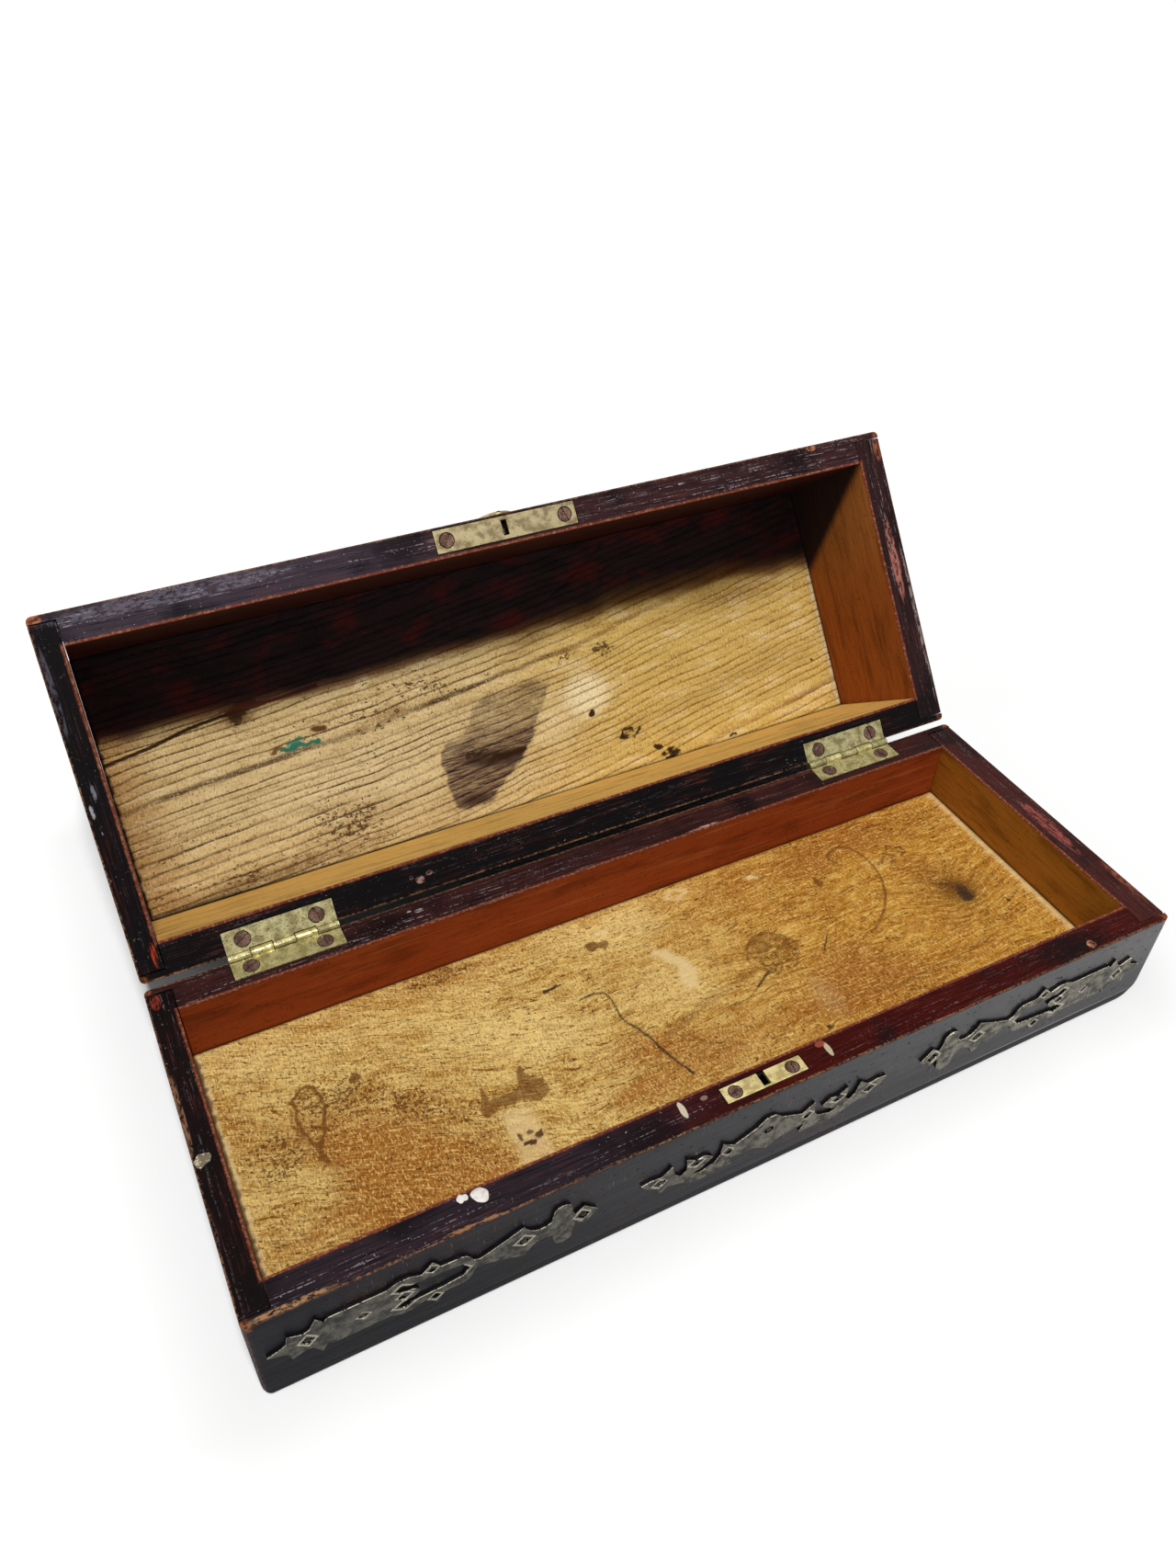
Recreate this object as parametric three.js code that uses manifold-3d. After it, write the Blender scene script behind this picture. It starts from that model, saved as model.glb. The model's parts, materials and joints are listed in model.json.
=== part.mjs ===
// A wooden tool box of two hinged trays, standing open. The shallow tray lies flat. The deep tray holds
// the lock and leans back on its hinges until its rear edge meets the table.
// Millimetres, +Z up. The origin is the middle of the shallow tray's underside, +X runs along the
// length and -Y is the front. Pieces are drawn as in the closed box, with z = 0 at the hinge pins.
import * as THREE from "three";
import { mergeVertices } from "three/addons/utils/BufferGeometryUtils.js";
import Module from "manifold-3d";

const wasm = await Module();
wasm.setup();

// Outside of the box and its walls
const length = 330;
const breadth = 122;
const leftEndThickness = 8.8;
const rightEndThickness = 11.6;
const frontThickness = 11.2;
const backThickness = 12;
const lapLip = 2.5; // what a long wall keeps over the end grain of an end wall
const cornerRound = 1.8; // upright corners
const gap = 0.3; // between pieces that are glued, let in or screwed down

// The two trays: depth is the way in from the rim, as the closed box stands
const lower = {
  depth: -1,
  inside: 24.4,
  board: 17.5,
  longRound: 2,
  leftRound: 6.5,
  rightRound: 13,
};
const upper = {
  depth: 1,
  inside: 54.4,
  board: 17.5,
  longRound: 2.2,
  leftRound: 2.2,
  rightRound: 2.2,
};

// Butt hinges
const rimGap = 0.4; // between the rims of the closed box
const pinSetback = 1.2; // from the back face out to the pin's axis
const hingeLength = 38;
const leftHingeInset = 47; // from the box's end to the hinge's middle
const rightHingeInset = 49.7;
const leafWidth = 9.2; // from the pin's axis to the leaf's edge
const leafThickness = 1.2;
const knuckleRadius = leafThickness + rimGap;
const knuckleCount = 5;
const hingePinRadius = 0.47 * knuckleRadius;
const pinClearance = 0.08;
const leafScrewPitch = hingeLength / 1.5;
const leafScrewSetback = 5.3; // from the pin's axis to the screws

// Countersunk wood screws, and brads with a small sunk head
const headRadius = 2.6;
const headRim = 0.25;
const headDepth = 1.5;
const shankRadius = 1.2;
const screwLength = 9;
const screwPoint = 2.5;
const slotWidth = 0.6;
const slotDepth = 0.55;
const bradHeadRadius = 1;
const bradHeadDepth = 0.8;
const bradRadius = 0.5;
const bradLength = 7;

// Lock, in the front rim of the deep tray
const fittingsX = -1.8; // the lock, the link plate and the mounts share this middle
const lockPlateLength = 55.3;
const lockPlateSetback = 1; // from the front face
const lockPlateWidth = frontThickness - 2.9;
const lockPlateThickness = 1.3;
const lockScrewPitch = 46.4;
const lockWidth = 34;
const lockDepth = 24;
const lockBackThickness = 1;
const lockBackInset = 0.4; // from the lock plate's inner edge to the back plate
const lockCapThickness = 0.8;
const lockCapInset = 0.5; // from the lock plate's outer edge to the cap
const lockSlotX = -0.7; // from the lock's middle
const lockSlotWidth = 2.2;
const boltPlay = 0.8; // on each side of the bolt, between the cap and the back plate
const noseLength = 6.4;
const noseDepth = 2.8;
const noseSetback = 0.8; // from the slot to the drawn bolt's nose
const tailLength = 12.2;
const tailDepth = 4;
const talonWidth = 4;
const talonDepth = 2.7;
const talonX = -2.2; // from the lock's middle
const springThickness = 0.5;
const keyholeDepth = 10.4; // from the rim to the round part
const keyholeRadius = 1.9;
const keyholeSlotWidth = 1.9;
const keyReach = 4.6; // from the round part's middle to the slot's end
const keyPostRadius = 1;

// Keyhole plate, on the front of the deep tray
const keyPlateWidth = 13;
const keyPlateHeight = 17;
const keyPlateThickness = 1.6;
const keyPlateDrop = 11.5; // from the rim to its middle
const keyPlateBradPitch = 13.2;
const keyPlateBradLength = 2.4;

// Link plate, in the front rim of the shallow tray
const linkLength = 29.2;
const linkWidth = frontThickness / 2;
const linkThickness = 1.3;
const linkSetback = 3; // from the front face
const linkScrewPitch = 20.8;
const linkHeadRadius = 2.1;
const linkSlotWidth = 2.6;
const linkBridge = 0.7;
const linkMortise = 5;

// Brass mounts on the front of the shallow tray
const mountThickness = 1.1;
// From the rim to each mount's middle line: nailed on by eye, lower to the right
const mountDrops = { left: 18.4, centre: 19.6, right: 20 };
const strapLength = 0.3 * length;
const strapInset = 5.6; // from the box's end to a strap's tip, seen from the mounts' middle
const centreMountLength = 0.277 * length;
const bradSink = 0.3; // from a mount's face down to the brad's head

const ebonised = new THREE.MeshStandardMaterial({ color: 0x17151a, roughness: 0.45, metalness: 0 });
const goldenWood = new THREE.MeshStandardMaterial({ color: 0xb98242, roughness: 0.7, metalness: 0 });
const pine = new THREE.MeshStandardMaterial({ color: 0xc9a566, roughness: 0.8, metalness: 0 });
const brass = new THREE.MeshStandardMaterial({ color: 0xa08c4e, roughness: 0.4, metalness: 0.9 });
const oldBrass = new THREE.MeshStandardMaterial({ color: 0x6f6a52, roughness: 0.5, metalness: 0.8 });
const iron = new THREE.MeshStandardMaterial({ color: 0x4a3a33, roughness: 0.7, metalness: 0.7 });

// Worked out from the sizes above
const heightOf = (half) => half.inside + half.board;
const frontY = -breadth / 2;
const backY = breadth / 2;
const pinY = backY + pinSetback;
const pinZ = heightOf(lower) + rimGap / 2; // above the table
const level = (half, d) => half.depth * (rimGap / 2 + d); // d mm in from a tray's rim
const hingeCentres = { left: leftHingeInset - length / 2, right: length / 2 - rightHingeInset };
const lockOuterY = frontY + lockPlateSetback;
const lockInnerY = lockOuterY + lockPlateWidth;
const lockBackFaceY = lockInnerY - lockBackInset; // the back plate's face towards the cavity
const lockBackY = lockBackFaceY - lockBackThickness;
const lockCapY = lockOuterY + lockCapInset;
const lockMiddleY = (lockCapY + lockCapThickness + lockBackY) / 2;
const boltThickness = lockBackY - lockCapY - lockCapThickness - 2 * boltPlay;
const springWidth = 0.75 * boltThickness;
const boltTop = lockPlateThickness + gap;
const noseTipX = fittingsX + lockSlotX - lockSlotWidth / 2 - noseSetback;
const boltFoot = boltTop + noseDepth + tailDepth;
const linkMiddleY = frontY + linkSetback + linkWidth / 2;
const mountZ = Object.fromEntries(
  Object.entries(mountDrops).map(([name, drop]) => [name, level(lower, drop)]),
);

// The turn of the deep tray at which its rounded rear edge touches the table.
function openAngle() {
  const down = heightOf(upper) + rimGap / 2 - upper.longRound;
  const out = pinSetback + upper.longRound;
  const lean = Math.acos((pinZ - upper.longRound) / Math.hypot(down, out)) - Math.atan2(out, down);
  return Math.PI - lean;
}

// A closed geometry as a solid, its faces turned outwards.
function solid(geometry) {
  const bare = geometry.index ? geometry.toNonIndexed() : geometry.clone();
  bare.deleteAttribute("normal");
  bare.deleteAttribute("uv");
  const merged = mergeVertices(bare, 1e-4);
  const corners = merged.index.array;
  const faces = [];
  for (let i = 0; i < corners.length; i += 3) {
    const face = [...corners.slice(i, i + 3)];
    if (new Set(face).size === 3) faces.push(face);
  }
  const made = (list) =>
    new wasm.Manifold(
      new wasm.Mesh({
        numProp: 3,
        vertProperties: merged.attributes.position.array,
        triVerts: new Uint32Array(list.flat()),
      }),
    );
  const first = made(faces);
  return first.volume() > 0 ? first : made(faces.map(([a, b, c]) => [a, c, b]));
}

// A solid as the geometry of a mesh.
function geometryOf(shape) {
  const mesh = shape.getMesh();
  const geometry = new THREE.BufferGeometry();
  geometry.setAttribute("position", new THREE.BufferAttribute(mesh.vertProperties, 3));
  geometry.setIndex(new THREE.BufferAttribute(mesh.triVerts, 1));
  const flat = geometry.toNonIndexed();
  flat.computeVertexNormals();
  return flat;
}

const cut = (shape, ...tools) => tools.reduce((left, tool) => left.subtract(tool), shape);
const join = (shape, ...others) => others.reduce((whole, other) => whole.add(other), shape);

// A block between two opposite corners.
function block([x0, x1], [y0, y1], [z0, z1]) {
  const geometry = new THREE.BoxGeometry(Math.abs(x1 - x0), Math.abs(y1 - y0), Math.abs(z1 - z0));
  return solid(geometry.translate((x0 + x1) / 2, (y0 + y1) / 2, (z0 + z1) / 2));
}

// An outline pushed along an axis: drawn in (y, z) for x, in (x, z) for y and in (x, y) for z.
function prism(axis, outline, a, b, steps = 4) {
  const [from, to] = [Math.min(a, b), Math.max(a, b)];
  const shape = Array.isArray(outline) ? new THREE.Shape(outline) : outline;
  const options = { depth: to - from, bevelEnabled: false, curveSegments: steps };
  const geometry = new THREE.ExtrudeGeometry(shape, options);
  const [X, Y, Z] = [[1, 0, 0], [0, 1, 0], [0, 0, 1]].map((v) => new THREE.Vector3(...v));
  const basis = { x: [Y, Z, X], y: [X, Z, Y.clone().negate()], z: [X, Y, Z] };
  const shift = { x: [from, 0, 0], y: [0, to, 0], z: [0, 0, from] };
  geometry.applyMatrix4(new THREE.Matrix4().makeBasis(...basis[axis]));
  return solid(geometry.translate(...shift[axis]));
}

// A round rod along an axis, its middle at (u, v) of that axis's drawing plane.
function rod(axis, u, v, radius, a, b, steps = 8) {
  const circle = new THREE.Shape();
  circle.absarc(u, v, radius, 0, 2 * Math.PI);
  return prism(axis, circle, a, b, steps);
}

// A turned piece on an upright axis: profile is [radius, height] from the foot to the top.
function turned(profile, sides) {
  const points = profile.map(([r, h]) => new THREE.Vector2(r, h));
  return new THREE.LatheGeometry(points, sides).rotateX(Math.PI / 2);
}

// A rectangle with a radius for each corner, from the lowest left one anticlockwise.
function roundedRect([u0, u1], [v0, v1], radii, steps = 5) {
  const corners = [[u0, v0, 1, 1], [u1, v0, -1, 1], [u1, v1, -1, -1], [u0, v1, 1, -1]];
  return corners.flatMap(([u, v, inU, inV], i) => {
    const r = radii[i];
    return Array.from({ length: r > 0 ? steps + 1 : 1 }, (_, k) => {
      const angle = Math.PI + ((i + k / steps) * Math.PI) / 2;
      const [cu, cv] = [u + inU * r, v + inV * r];
      return new THREE.Vector2(cu + r * Math.cos(angle), cv + r * Math.sin(angle));
    });
  });
}

// Everything inside a tray's rounded outside.
function outsideOf(half) {
  const z = [level(half, 0), level(half, heightOf(half))].sort((a, b) => a - b);
  const [x, y] = [[-length / 2, length / 2], [frontY, backY]];
  const { leftRound: l, rightRound: r, longRound: e } = half;
  const plan = roundedRect(x, y, Array(4).fill(cornerRound), 3);
  const section = roundedRect(y, z, half.depth < 0 ? [e, e, 0, 0] : [0, 0, e, e]);
  const side = roundedRect(x, z, half.depth < 0 ? [l, r, 0, 0] : [0, 0, r, l]);
  return prism("z", plan, ...z)
    .intersect(prism("x", section, ...x))
    .intersect(prism("y", side, ...y));
}

// The walls and the board of a tray. The long walls are rabbeted over the end walls.
function trayPieces(half) {
  const outside = outsideOf(half);
  const z = [level(half, 0), level(half, heightOf(half))];
  const beyond = [z[0] - half.depth, z[1] + half.depth];
  const [left, right] = [leftEndThickness - length / 2, length / 2 - rightEndThickness];
  const longWall = (outer, inner) => {
    const lip = outer + Math.sign(inner - outer) * lapLip;
    return cut(
      outside.intersect(block([-length / 2, length / 2], [outer, inner], z)),
      block([-length / 2 - 1, left], [lip, inner], beyond),
      block([right, length / 2 + 1], [lip, inner], beyond),
    );
  };
  const endY = [frontY + lapLip + gap, backY - lapLip - gap];
  const endWall = (x) => outside.intersect(block(x, endY, z));
  const boardY = [frontY + frontThickness + gap, backY - backThickness - gap];
  return {
    front: longWall(frontY, frontY + frontThickness),
    back: longWall(backY, backY - backThickness),
    left_end: endWall([-length / 2, left - gap]),
    right_end: endWall([right + gap, length / 2]),
    board: block([left + gap, right - gap], boardY, [level(half, half.inside), z[1]]),
  };
}

// A countersunk screw with its head flush with a tray's rim.
function screw(half, [x, y], slotAngle, head = headRadius) {
  const profile = [
    [0, -screwLength],
    [shankRadius, -screwLength + screwPoint],
    [shankRadius, -headDepth],
    [head, -headRim],
    [head, 0],
    [0, 0],
  ];
  const slot = new THREE.BoxGeometry(3 * head, slotWidth, 2 * slotDepth).rotateZ(slotAngle);
  const placed = (geometry) =>
    solid(geometry.rotateX(half.depth < 0 ? 0 : Math.PI).translate(x, y, level(half, 0)));
  return cut(placed(turned(profile, 16)), placed(slot));
}

// The room that a screw takes in a plate and the wood, with clearance all round.
function screwHole(half, [x, y], head = headRadius) {
  const [wide, narrow] = [head + gap, shankRadius + gap];
  const profile = [
    [0, -screwLength - gap],
    [narrow, -screwLength - gap],
    [narrow, -headDepth - gap],
    [wide, -headRim - gap],
    [wide, 1],
    [0, 1],
  ];
  const geometry = turned(profile, 16).rotateX(half.depth < 0 ? 0 : Math.PI);
  return solid(geometry.translate(x, y, level(half, 0)));
}

// A brad driven in from the front, its head's rim at faceY.
function brad(x, z, faceY, reach = bradLength) {
  const profile = [
    [0, -reach],
    [bradRadius, 1 - reach],
    [bradRadius, -bradHeadDepth],
    [bradHeadRadius, 0],
    [bradHeadRadius / 2, 0.15],
    [0, 0.2],
  ];
  return solid(turned(profile, 10).rotateX(Math.PI / 2).translate(x, faceY, z));
}

function bradHole(x, z, faceY, reach = bradLength) {
  return rod("y", x, z, bradRadius + gap, faceY - 1, faceY + reach + gap, 3);
}

// The two screws of a leaf
function leafScrews(x) {
  return [-0.5, 0.5].map((side) => [x + side * leafScrewPitch, pinY - leafScrewSetback]);
}

// One leaf of a hinge with its knuckles. The deep tray's leaf has the outermost ones.
function hingeLeaf(half, x) {
  const start = x - hingeLength / 2;
  const end = x + hingeLength / 2;
  const step = hingeLength / knuckleCount;
  const knuckles = [];
  const clearings = [];
  for (let i = 0; i < knuckleCount; i++) {
    const [from, to] = [start + i * step, start + (i + 1) * step];
    if (i % 2 === (half.depth > 0 ? 0 : 1)) {
      const room = [from + (i > 0 ? gap / 2 : 0), to - (i < knuckleCount - 1 ? gap / 2 : 0)];
      knuckles.push(rod("x", pinY, 0, knuckleRadius, ...room));
    } else {
      const room = [from - (i > 0 ? gap / 2 : 1), to + (i < knuckleCount - 1 ? gap / 2 : 1)];
      clearings.push(rod("x", pinY, 0, knuckleRadius + gap, ...room));
    }
  }
  const leafZ = [level(half, 0), level(half, leafThickness)];
  const leaf = cut(block([start, end], [pinY - leafWidth, pinY], leafZ), ...clearings);
  const bore = rod("x", pinY, 0, hingePinRadius + pinClearance, start - 1, end + 1);
  return cut(join(leaf, ...knuckles), bore, ...leafScrews(x).map((at) => screwHole(half, at)));
}

// The bed of a leaf in the rim, with room for the knuckles.
function hingeBed(half, x) {
  const reach = hingeLength / 2 + gap;
  const bedY = [pinY - leafWidth - gap, pinY];
  const bed = block([x - reach, x + reach], bedY, [level(half, -1), level(half, leafThickness + gap)]);
  const knuckles = rod("x", pinY, 0, knuckleRadius + gap, x - reach, x + reach);
  return [bed, knuckles, ...leafScrews(x).map((at) => screwHole(half, at))];
}

const hingePin = (x) => rod("x", pinY, 0, hingePinRadius, x - hingeLength / 2, x + hingeLength / 2);

// A keyhole through the front, from y = a to y = b.
function keyhole(a, b, grow = 0) {
  const z = level(upper, keyholeDepth);
  const half = keyholeSlotWidth / 2 + grow;
  const slot = block([fittingsX - half, fittingsX + half], [a, b], [z, z + keyReach + grow]);
  return rod("y", fittingsX, z, keyholeRadius + grow, a, b).add(slot);
}

const lockScrews = [-0.5, 0.5].map((side) => [
  fittingsX + side * lockScrewPitch,
  (lockOuterY + lockInnerY) / 2,
]);
const inLock = (halfWidth) => [fittingsX - halfWidth, fittingsX + halfWidth];
const keyPostRod = (radius, a, b) => rod("y", fittingsX, level(upper, keyholeDepth), radius, a, b);

// The plate in the rim and the back plate, bent from one piece.
function lockPlate() {
  const stripZ = [level(upper, 0), level(upper, lockPlateThickness)];
  const strip = block(inLock(lockPlateLength / 2), [lockOuterY, lockInnerY], stripZ);
  const backZ = [level(upper, 0), level(upper, lockDepth)];
  const back = block(inLock(lockWidth / 2), [lockBackY, lockBackFaceY], backZ);
  const slotX = [-0.5, 0.5].map((side) => fittingsX + lockSlotX + side * lockSlotWidth);
  const slotY = [lockCapY + lockCapThickness, lockBackY];
  return cut(
    strip.add(back),
    block(slotX, slotY, [level(upper, -1), level(upper, lockPlateThickness + 1)]),
    keyPostRod(keyPostRadius + gap, lockBackY - 1, lockBackFaceY + 1),
    ...lockScrews.map((at) => screwHole(upper, at)),
  );
}

// The cap over the works: a shallow pan that is open towards the back plate and the rim.
function lockCap() {
  const outer = lockWidth / 2 - lockCapThickness;
  const inner = outer - lockCapThickness;
  const open = lockBackY - gap;
  const capZ = [level(upper, boltTop), level(upper, lockDepth)];
  const hollowZ = [capZ[0] - 1, capZ[1] - lockCapThickness];
  return cut(
    block(inLock(outer), [lockCapY, open], capZ),
    block(inLock(inner), [lockCapY + lockCapThickness, open + 1], hollowZ),
    keyhole(lockCapY - 1, lockCapY + lockCapThickness + 1),
  );
}

// The bolt: its nose is drawn back beside the slot, and the key turns in the notch of its tail.
function lockBolt() {
  const y = [lockMiddleY - boltThickness / 2, lockMiddleY + boltThickness / 2];
  const tailZ = [level(upper, boltTop + noseDepth), level(upper, boltFoot)];
  const nose = block([noseTipX - noseLength, noseTipX], y, [level(upper, boltTop), tailZ[0] + 0.5]);
  const tailX = [noseTipX - noseLength, noseTipX - noseLength + tailLength];
  const notchX = [-0.5, 0.5].map((side) => fittingsX + talonX + side * talonWidth);
  const notch = block(notchX, [y[0] - 1, y[1] + 1], [tailZ[1] - talonDepth, tailZ[1] + 1]);
  return cut(block(tailX, y, tailZ).add(nose), notch);
}

// A bent strip spring from the foot of the cap up to the underside of the bolt's tail.
function lockSpring() {
  const footX = fittingsX - lockWidth / 2 + 2 * lockCapThickness + gap;
  const topX = fittingsX + talonX - talonWidth / 2 - 2 * gap;
  const footZ = level(upper, lockDepth - lockCapThickness - gap);
  const topZ = level(upper, boltFoot + gap);
  const arc = (inset) =>
    Array.from({ length: 9 }, (_, k) => {
      const t = (k / 8) * (Math.PI / 2);
      const [across, up] = [topX - footX - inset, footZ - topZ - inset];
      return new THREE.Vector2(topX - across * Math.cos(t), footZ - up * Math.sin(t));
    });
  const outline = [...arc(0), ...arc(springThickness).reverse()];
  return prism("y", outline, lockMiddleY - springWidth / 2, lockMiddleY + springWidth / 2);
}

// What the lock takes out of the front wall.
function lockRecess() {
  const bedZ = [level(upper, -1), level(upper, lockPlateThickness + gap)];
  const bed = block(inLock(lockPlateLength / 2 + gap), [lockOuterY - gap, lockInnerY + gap], bedZ);
  const mortiseZ = [level(upper, 0), level(upper, lockDepth + gap)];
  const mortise = block(inLock(lockWidth / 2 + gap), [lockCapY - gap, lockBackFaceY + gap], mortiseZ);
  const holes = lockScrews.map((at) => screwHole(upper, at));
  return [bed, mortise, keyhole(frontY - 1, lockCapY, gap), ...holes];
}

const keyPlateY = frontY - gap;
const keyPlateBradFace = keyPlateY - 0.75 * keyPlateThickness;
const keyPlateBrads = [-0.5, 0.5].map((side) => [
  fittingsX,
  level(upper, keyPlateDrop + side * keyPlateBradPitch),
]);

// The domed oval plate around the keyhole
function keyPlate() {
  const profile = [
    [0, 0],
    [1, 0],
    [1, 0.4],
    [0.82, 0.75],
    [0.5, 1],
    [0, 1],
  ];
  const dome = turned(profile, 28).rotateX(Math.PI / 2);
  dome.scale(keyPlateWidth / 2, keyPlateThickness, keyPlateHeight / 2);
  dome.translate(fittingsX, keyPlateY, level(upper, keyPlateDrop));
  const [a, b] = [keyPlateY - keyPlateThickness - 1, keyPlateY + 1];
  const holes = keyPlateBrads.map(([x, z]) => rod("y", x, z, bradHeadRadius + gap, a, b, 4));
  return cut(solid(dome), keyhole(a, b), ...holes);
}

const linkScrews = [-0.5, 0.5].map((side) => [fittingsX + side * linkScrewPitch, linkMiddleY]);

// The link plate, slotted for the staple and open towards the inside.
function linkPlate() {
  const y = [linkMiddleY - linkWidth / 2, linkMiddleY + linkWidth / 2];
  const plate = block(inLock(linkLength / 2), y, [level(lower, 0), level(lower, linkThickness)]);
  const slotZ = [level(lower, -1), level(lower, linkThickness + 1)];
  const slot = block(inLock(linkSlotWidth / 2), [y[0] + linkBridge, y[1] + 1], slotZ);
  return cut(plate, slot, ...linkScrews.map((at) => screwHole(lower, at, linkHeadRadius)));
}

function linkRecess() {
  const y = [linkMiddleY - linkWidth / 2 - gap, linkMiddleY + linkWidth / 2 + gap];
  const bedZ = [level(lower, -1), level(lower, linkThickness + gap)];
  const mortiseY = [y[0] + gap + linkBridge, y[1] - gap];
  const mortiseZ = [level(lower, 0), level(lower, linkMortise)];
  return [
    block(inLock(linkLength / 2 + gap), y, bedZ),
    block(inLock(linkSlotWidth / 2 + gap), mortiseY, mortiseZ),
    ...linkScrews.map((at) => screwHole(lower, at, linkHeadRadius)),
  ];
}

// A drawn half and its mirror image across the line v = 0.
function doubled(path) {
  const half = path.getPoints(3);
  const other = half.slice(1, -1).reverse();
  return [...half, ...other.map((p) => new THREE.Vector2(p.x, -p.y))];
}

const circle = (u, v, radius) =>
  Array.from({ length: 10 }, (_, k) => {
    const angle = (k * Math.PI) / 5;
    return new THREE.Vector2(u + radius * Math.cos(angle), v + radius * Math.sin(angle));
  });

// A pierced plate on the front face, from an outline and holes drawn about (x, z).
function mountPlate(outline, holes, [x, z], stretch) {
  const placed = (points) => points.map((p) => new THREE.Vector2(x + stretch * p.x, z + p.y));
  const back = frontY;
  const face = frontY - mountThickness;
  const tools = holes.map((hole) => prism("y", placed(hole), face - 1, back + 1));
  return cut(prism("y", placed(outline), face, back), ...tools);
}

// The upper half of a strap's outline, from the tip nearest the middle of the box.
const strapDrawn = 100.5;
function strapHalf() {
  const edge = new THREE.Path();
  edge.moveTo(0, 0);
  edge.lineTo(4.4, 4.7);
  edge.lineTo(7.4, 2);
  edge.lineTo(8.4, 5);
  edge.absarc(11.5, 6.9, 3.1, Math.PI, 0, true);
  edge.lineTo(15.2, 3.6);
  edge.quadraticCurveTo(18, 2, 20.5, 3.3);
  edge.quadraticCurveTo(22.8, 4.6, 24, 7.8);
  edge.quadraticCurveTo(31, 4.2, 38, 1.7);
  edge.lineTo(40, 2.6);
  edge.quadraticCurveTo(41, 6.4, 43.5, 7);
  edge.lineTo(49.5, 7.1);
  edge.lineTo(52, 11);
  edge.lineTo(55.5, 7.2);
  edge.quadraticCurveTo(60.8, 10.9, 66, 7.2);
  edge.lineTo(83, 7.2);
  edge.lineTo(84, 5.6);
  edge.lineTo(86, 9);
  edge.lineTo(88.2, 5);
  edge.lineTo(90, 4.2);
  edge.lineTo(94.3, 6.2);
  edge.lineTo(95, 2.6);
  edge.quadraticCurveTo(97.5, 1, strapDrawn, 0);
  return edge;
}

// The upper half of the strap's fork, with the trefoil tongue that reaches into it.
function forkHalf() {
  const edge = new THREE.Path();
  edge.moveTo(41.2, 0);
  edge.lineTo(43.5, 3.3);
  edge.lineTo(50, 4.2);
  edge.lineTo(56.5, 4.6);
  edge.absarc(61.5, 4.2, 1.7, 0.89 * Math.PI, -0.55 * Math.PI, true);
  edge.lineTo(60.2, 1.9);
  edge.lineTo(58.6, 1.9);
  edge.lineTo(57.4, 1.2);
  edge.lineTo(56.6, 0);
  return edge;
}

const strapHoles = [
  [24.2, 0, 1.6],
  [52.3, 7.2, 1.1],
  [52.3, -7.2, 1.1],
  [62, 0, 1.1],
  [73.5, 0, 1.4],
  [89.3, 0, 1.5],
];
const strapDiamond = [[2.2, 0], [4.6, 2.4], [7, 0], [4.6, -2.4]];
const strapBrads = [4.6, 24.2, 73.5, 89.3];
const strapX = (side, u) =>
  fittingsX + side * (length / 2 - strapInset - strapLength * (1 - u / strapDrawn));

// A strap on the right (side 1) or the left (side -1), its long point towards the corner.
function strap(side) {
  const diamond = strapDiamond.map(([u, v]) => new THREE.Vector2(u, v));
  const holes = [diamond, doubled(forkHalf()), ...strapHoles.map((hole) => circle(...hole))];
  const at = [strapX(side, 0), side < 0 ? mountZ.left : mountZ.right];
  return mountPlate(doubled(strapHalf()), holes, at, (side * strapLength) / strapDrawn);
}

// The right half of the centre mount, from the top of its lozenge round to the foot.
const centreDrawn = 91.4;
const centreHalf = [
  [0, 8.4], [1.7, 8.3], [4.8, 5.3], [12.7, 1.5], [17.1, 4.8], [17.6, -0.8], [19.6, -3.6],
  [24.5, -5.4], [28.2, -3.6], [24.6, -2.9], [20.4, 0.6], [23.4, 3.2], [26.4, 2.7], [30, 5.2],
  [29.6, -0.5], [31.5, -2.6], [33.6, -0.6], [35, 4.9], [38.6, 1.7], [42.2, 2.3], [45.7, 1.8],
  [43.8, -1], [40.2, -3.4], [38.7, -6.9], [36.2, -4.6], [31.5, -6.2], [27.5, -8.8], [22.5, -9.3],
  [17.5, -8.6], [12.9, -8.6], [14.6, -4.2], [12.3, -4.7], [5.6, -5.5], [3.2, -6.3], [0, -8.6],
];
const centreHoles = [
  [0, 1.3, 1.9],
  [14.4, -1.2, 1.2],
  [26.1, 0.6, 1.1],
  [38.3, -1.1, 1.4],
];
const centreBrads = [
  [0, 1.3],
  [38.3, -1.1],
  [-38.3, -1.1],
];

// The centre mount: a lozenge between two leafy scrolls.
function centreMount() {
  const left = centreHalf.slice(1, -1).reverse();
  const outline = [...centreHalf, ...left.map(([u, v]) => [-u, v])];
  const holes = centreHoles.flatMap(([u, v, r]) =>
    u > 0 ? [circle(u, v, r), circle(-u, v, r)] : [circle(u, v, r)],
  );
  const drawn = outline.map(([u, v]) => new THREE.Vector2(u, v));
  return mountPlate(drawn, holes, [fittingsX, mountZ.centre], centreMountLength / centreDrawn);
}

// Where each brad of the mounts sits, by its name.
function mountBrads() {
  const places = {};
  for (const [name, side] of Object.entries({ left: -1, right: 1 })) {
    strapBrads.forEach((u, i) => {
      places[`${name}_strap_brad_${i + 1}`] = [strapX(side, u), mountZ[name]];
    });
  }
  centreBrads.forEach(([u, v], i) => {
    const x = fittingsX + (u * centreMountLength) / centreDrawn;
    places[`centre_mount_brad_${i + 1}`] = [x, mountZ.centre + v];
  });
  return places;
}

// The shallow tray stands on the table, and the deep one is turned back about the pins.
const group = new THREE.Group();
const lowerGroup = new THREE.Group();
const turn = new THREE.Group();
const upperGroup = new THREE.Group();
group.add(lowerGroup, turn);
turn.add(upperGroup);
lowerGroup.position.set(0, 0, pinZ);
turn.position.set(0, pinY, pinZ);
turn.rotation.x = -openAngle();
upperGroup.position.set(0, -pinY, 0);

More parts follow.
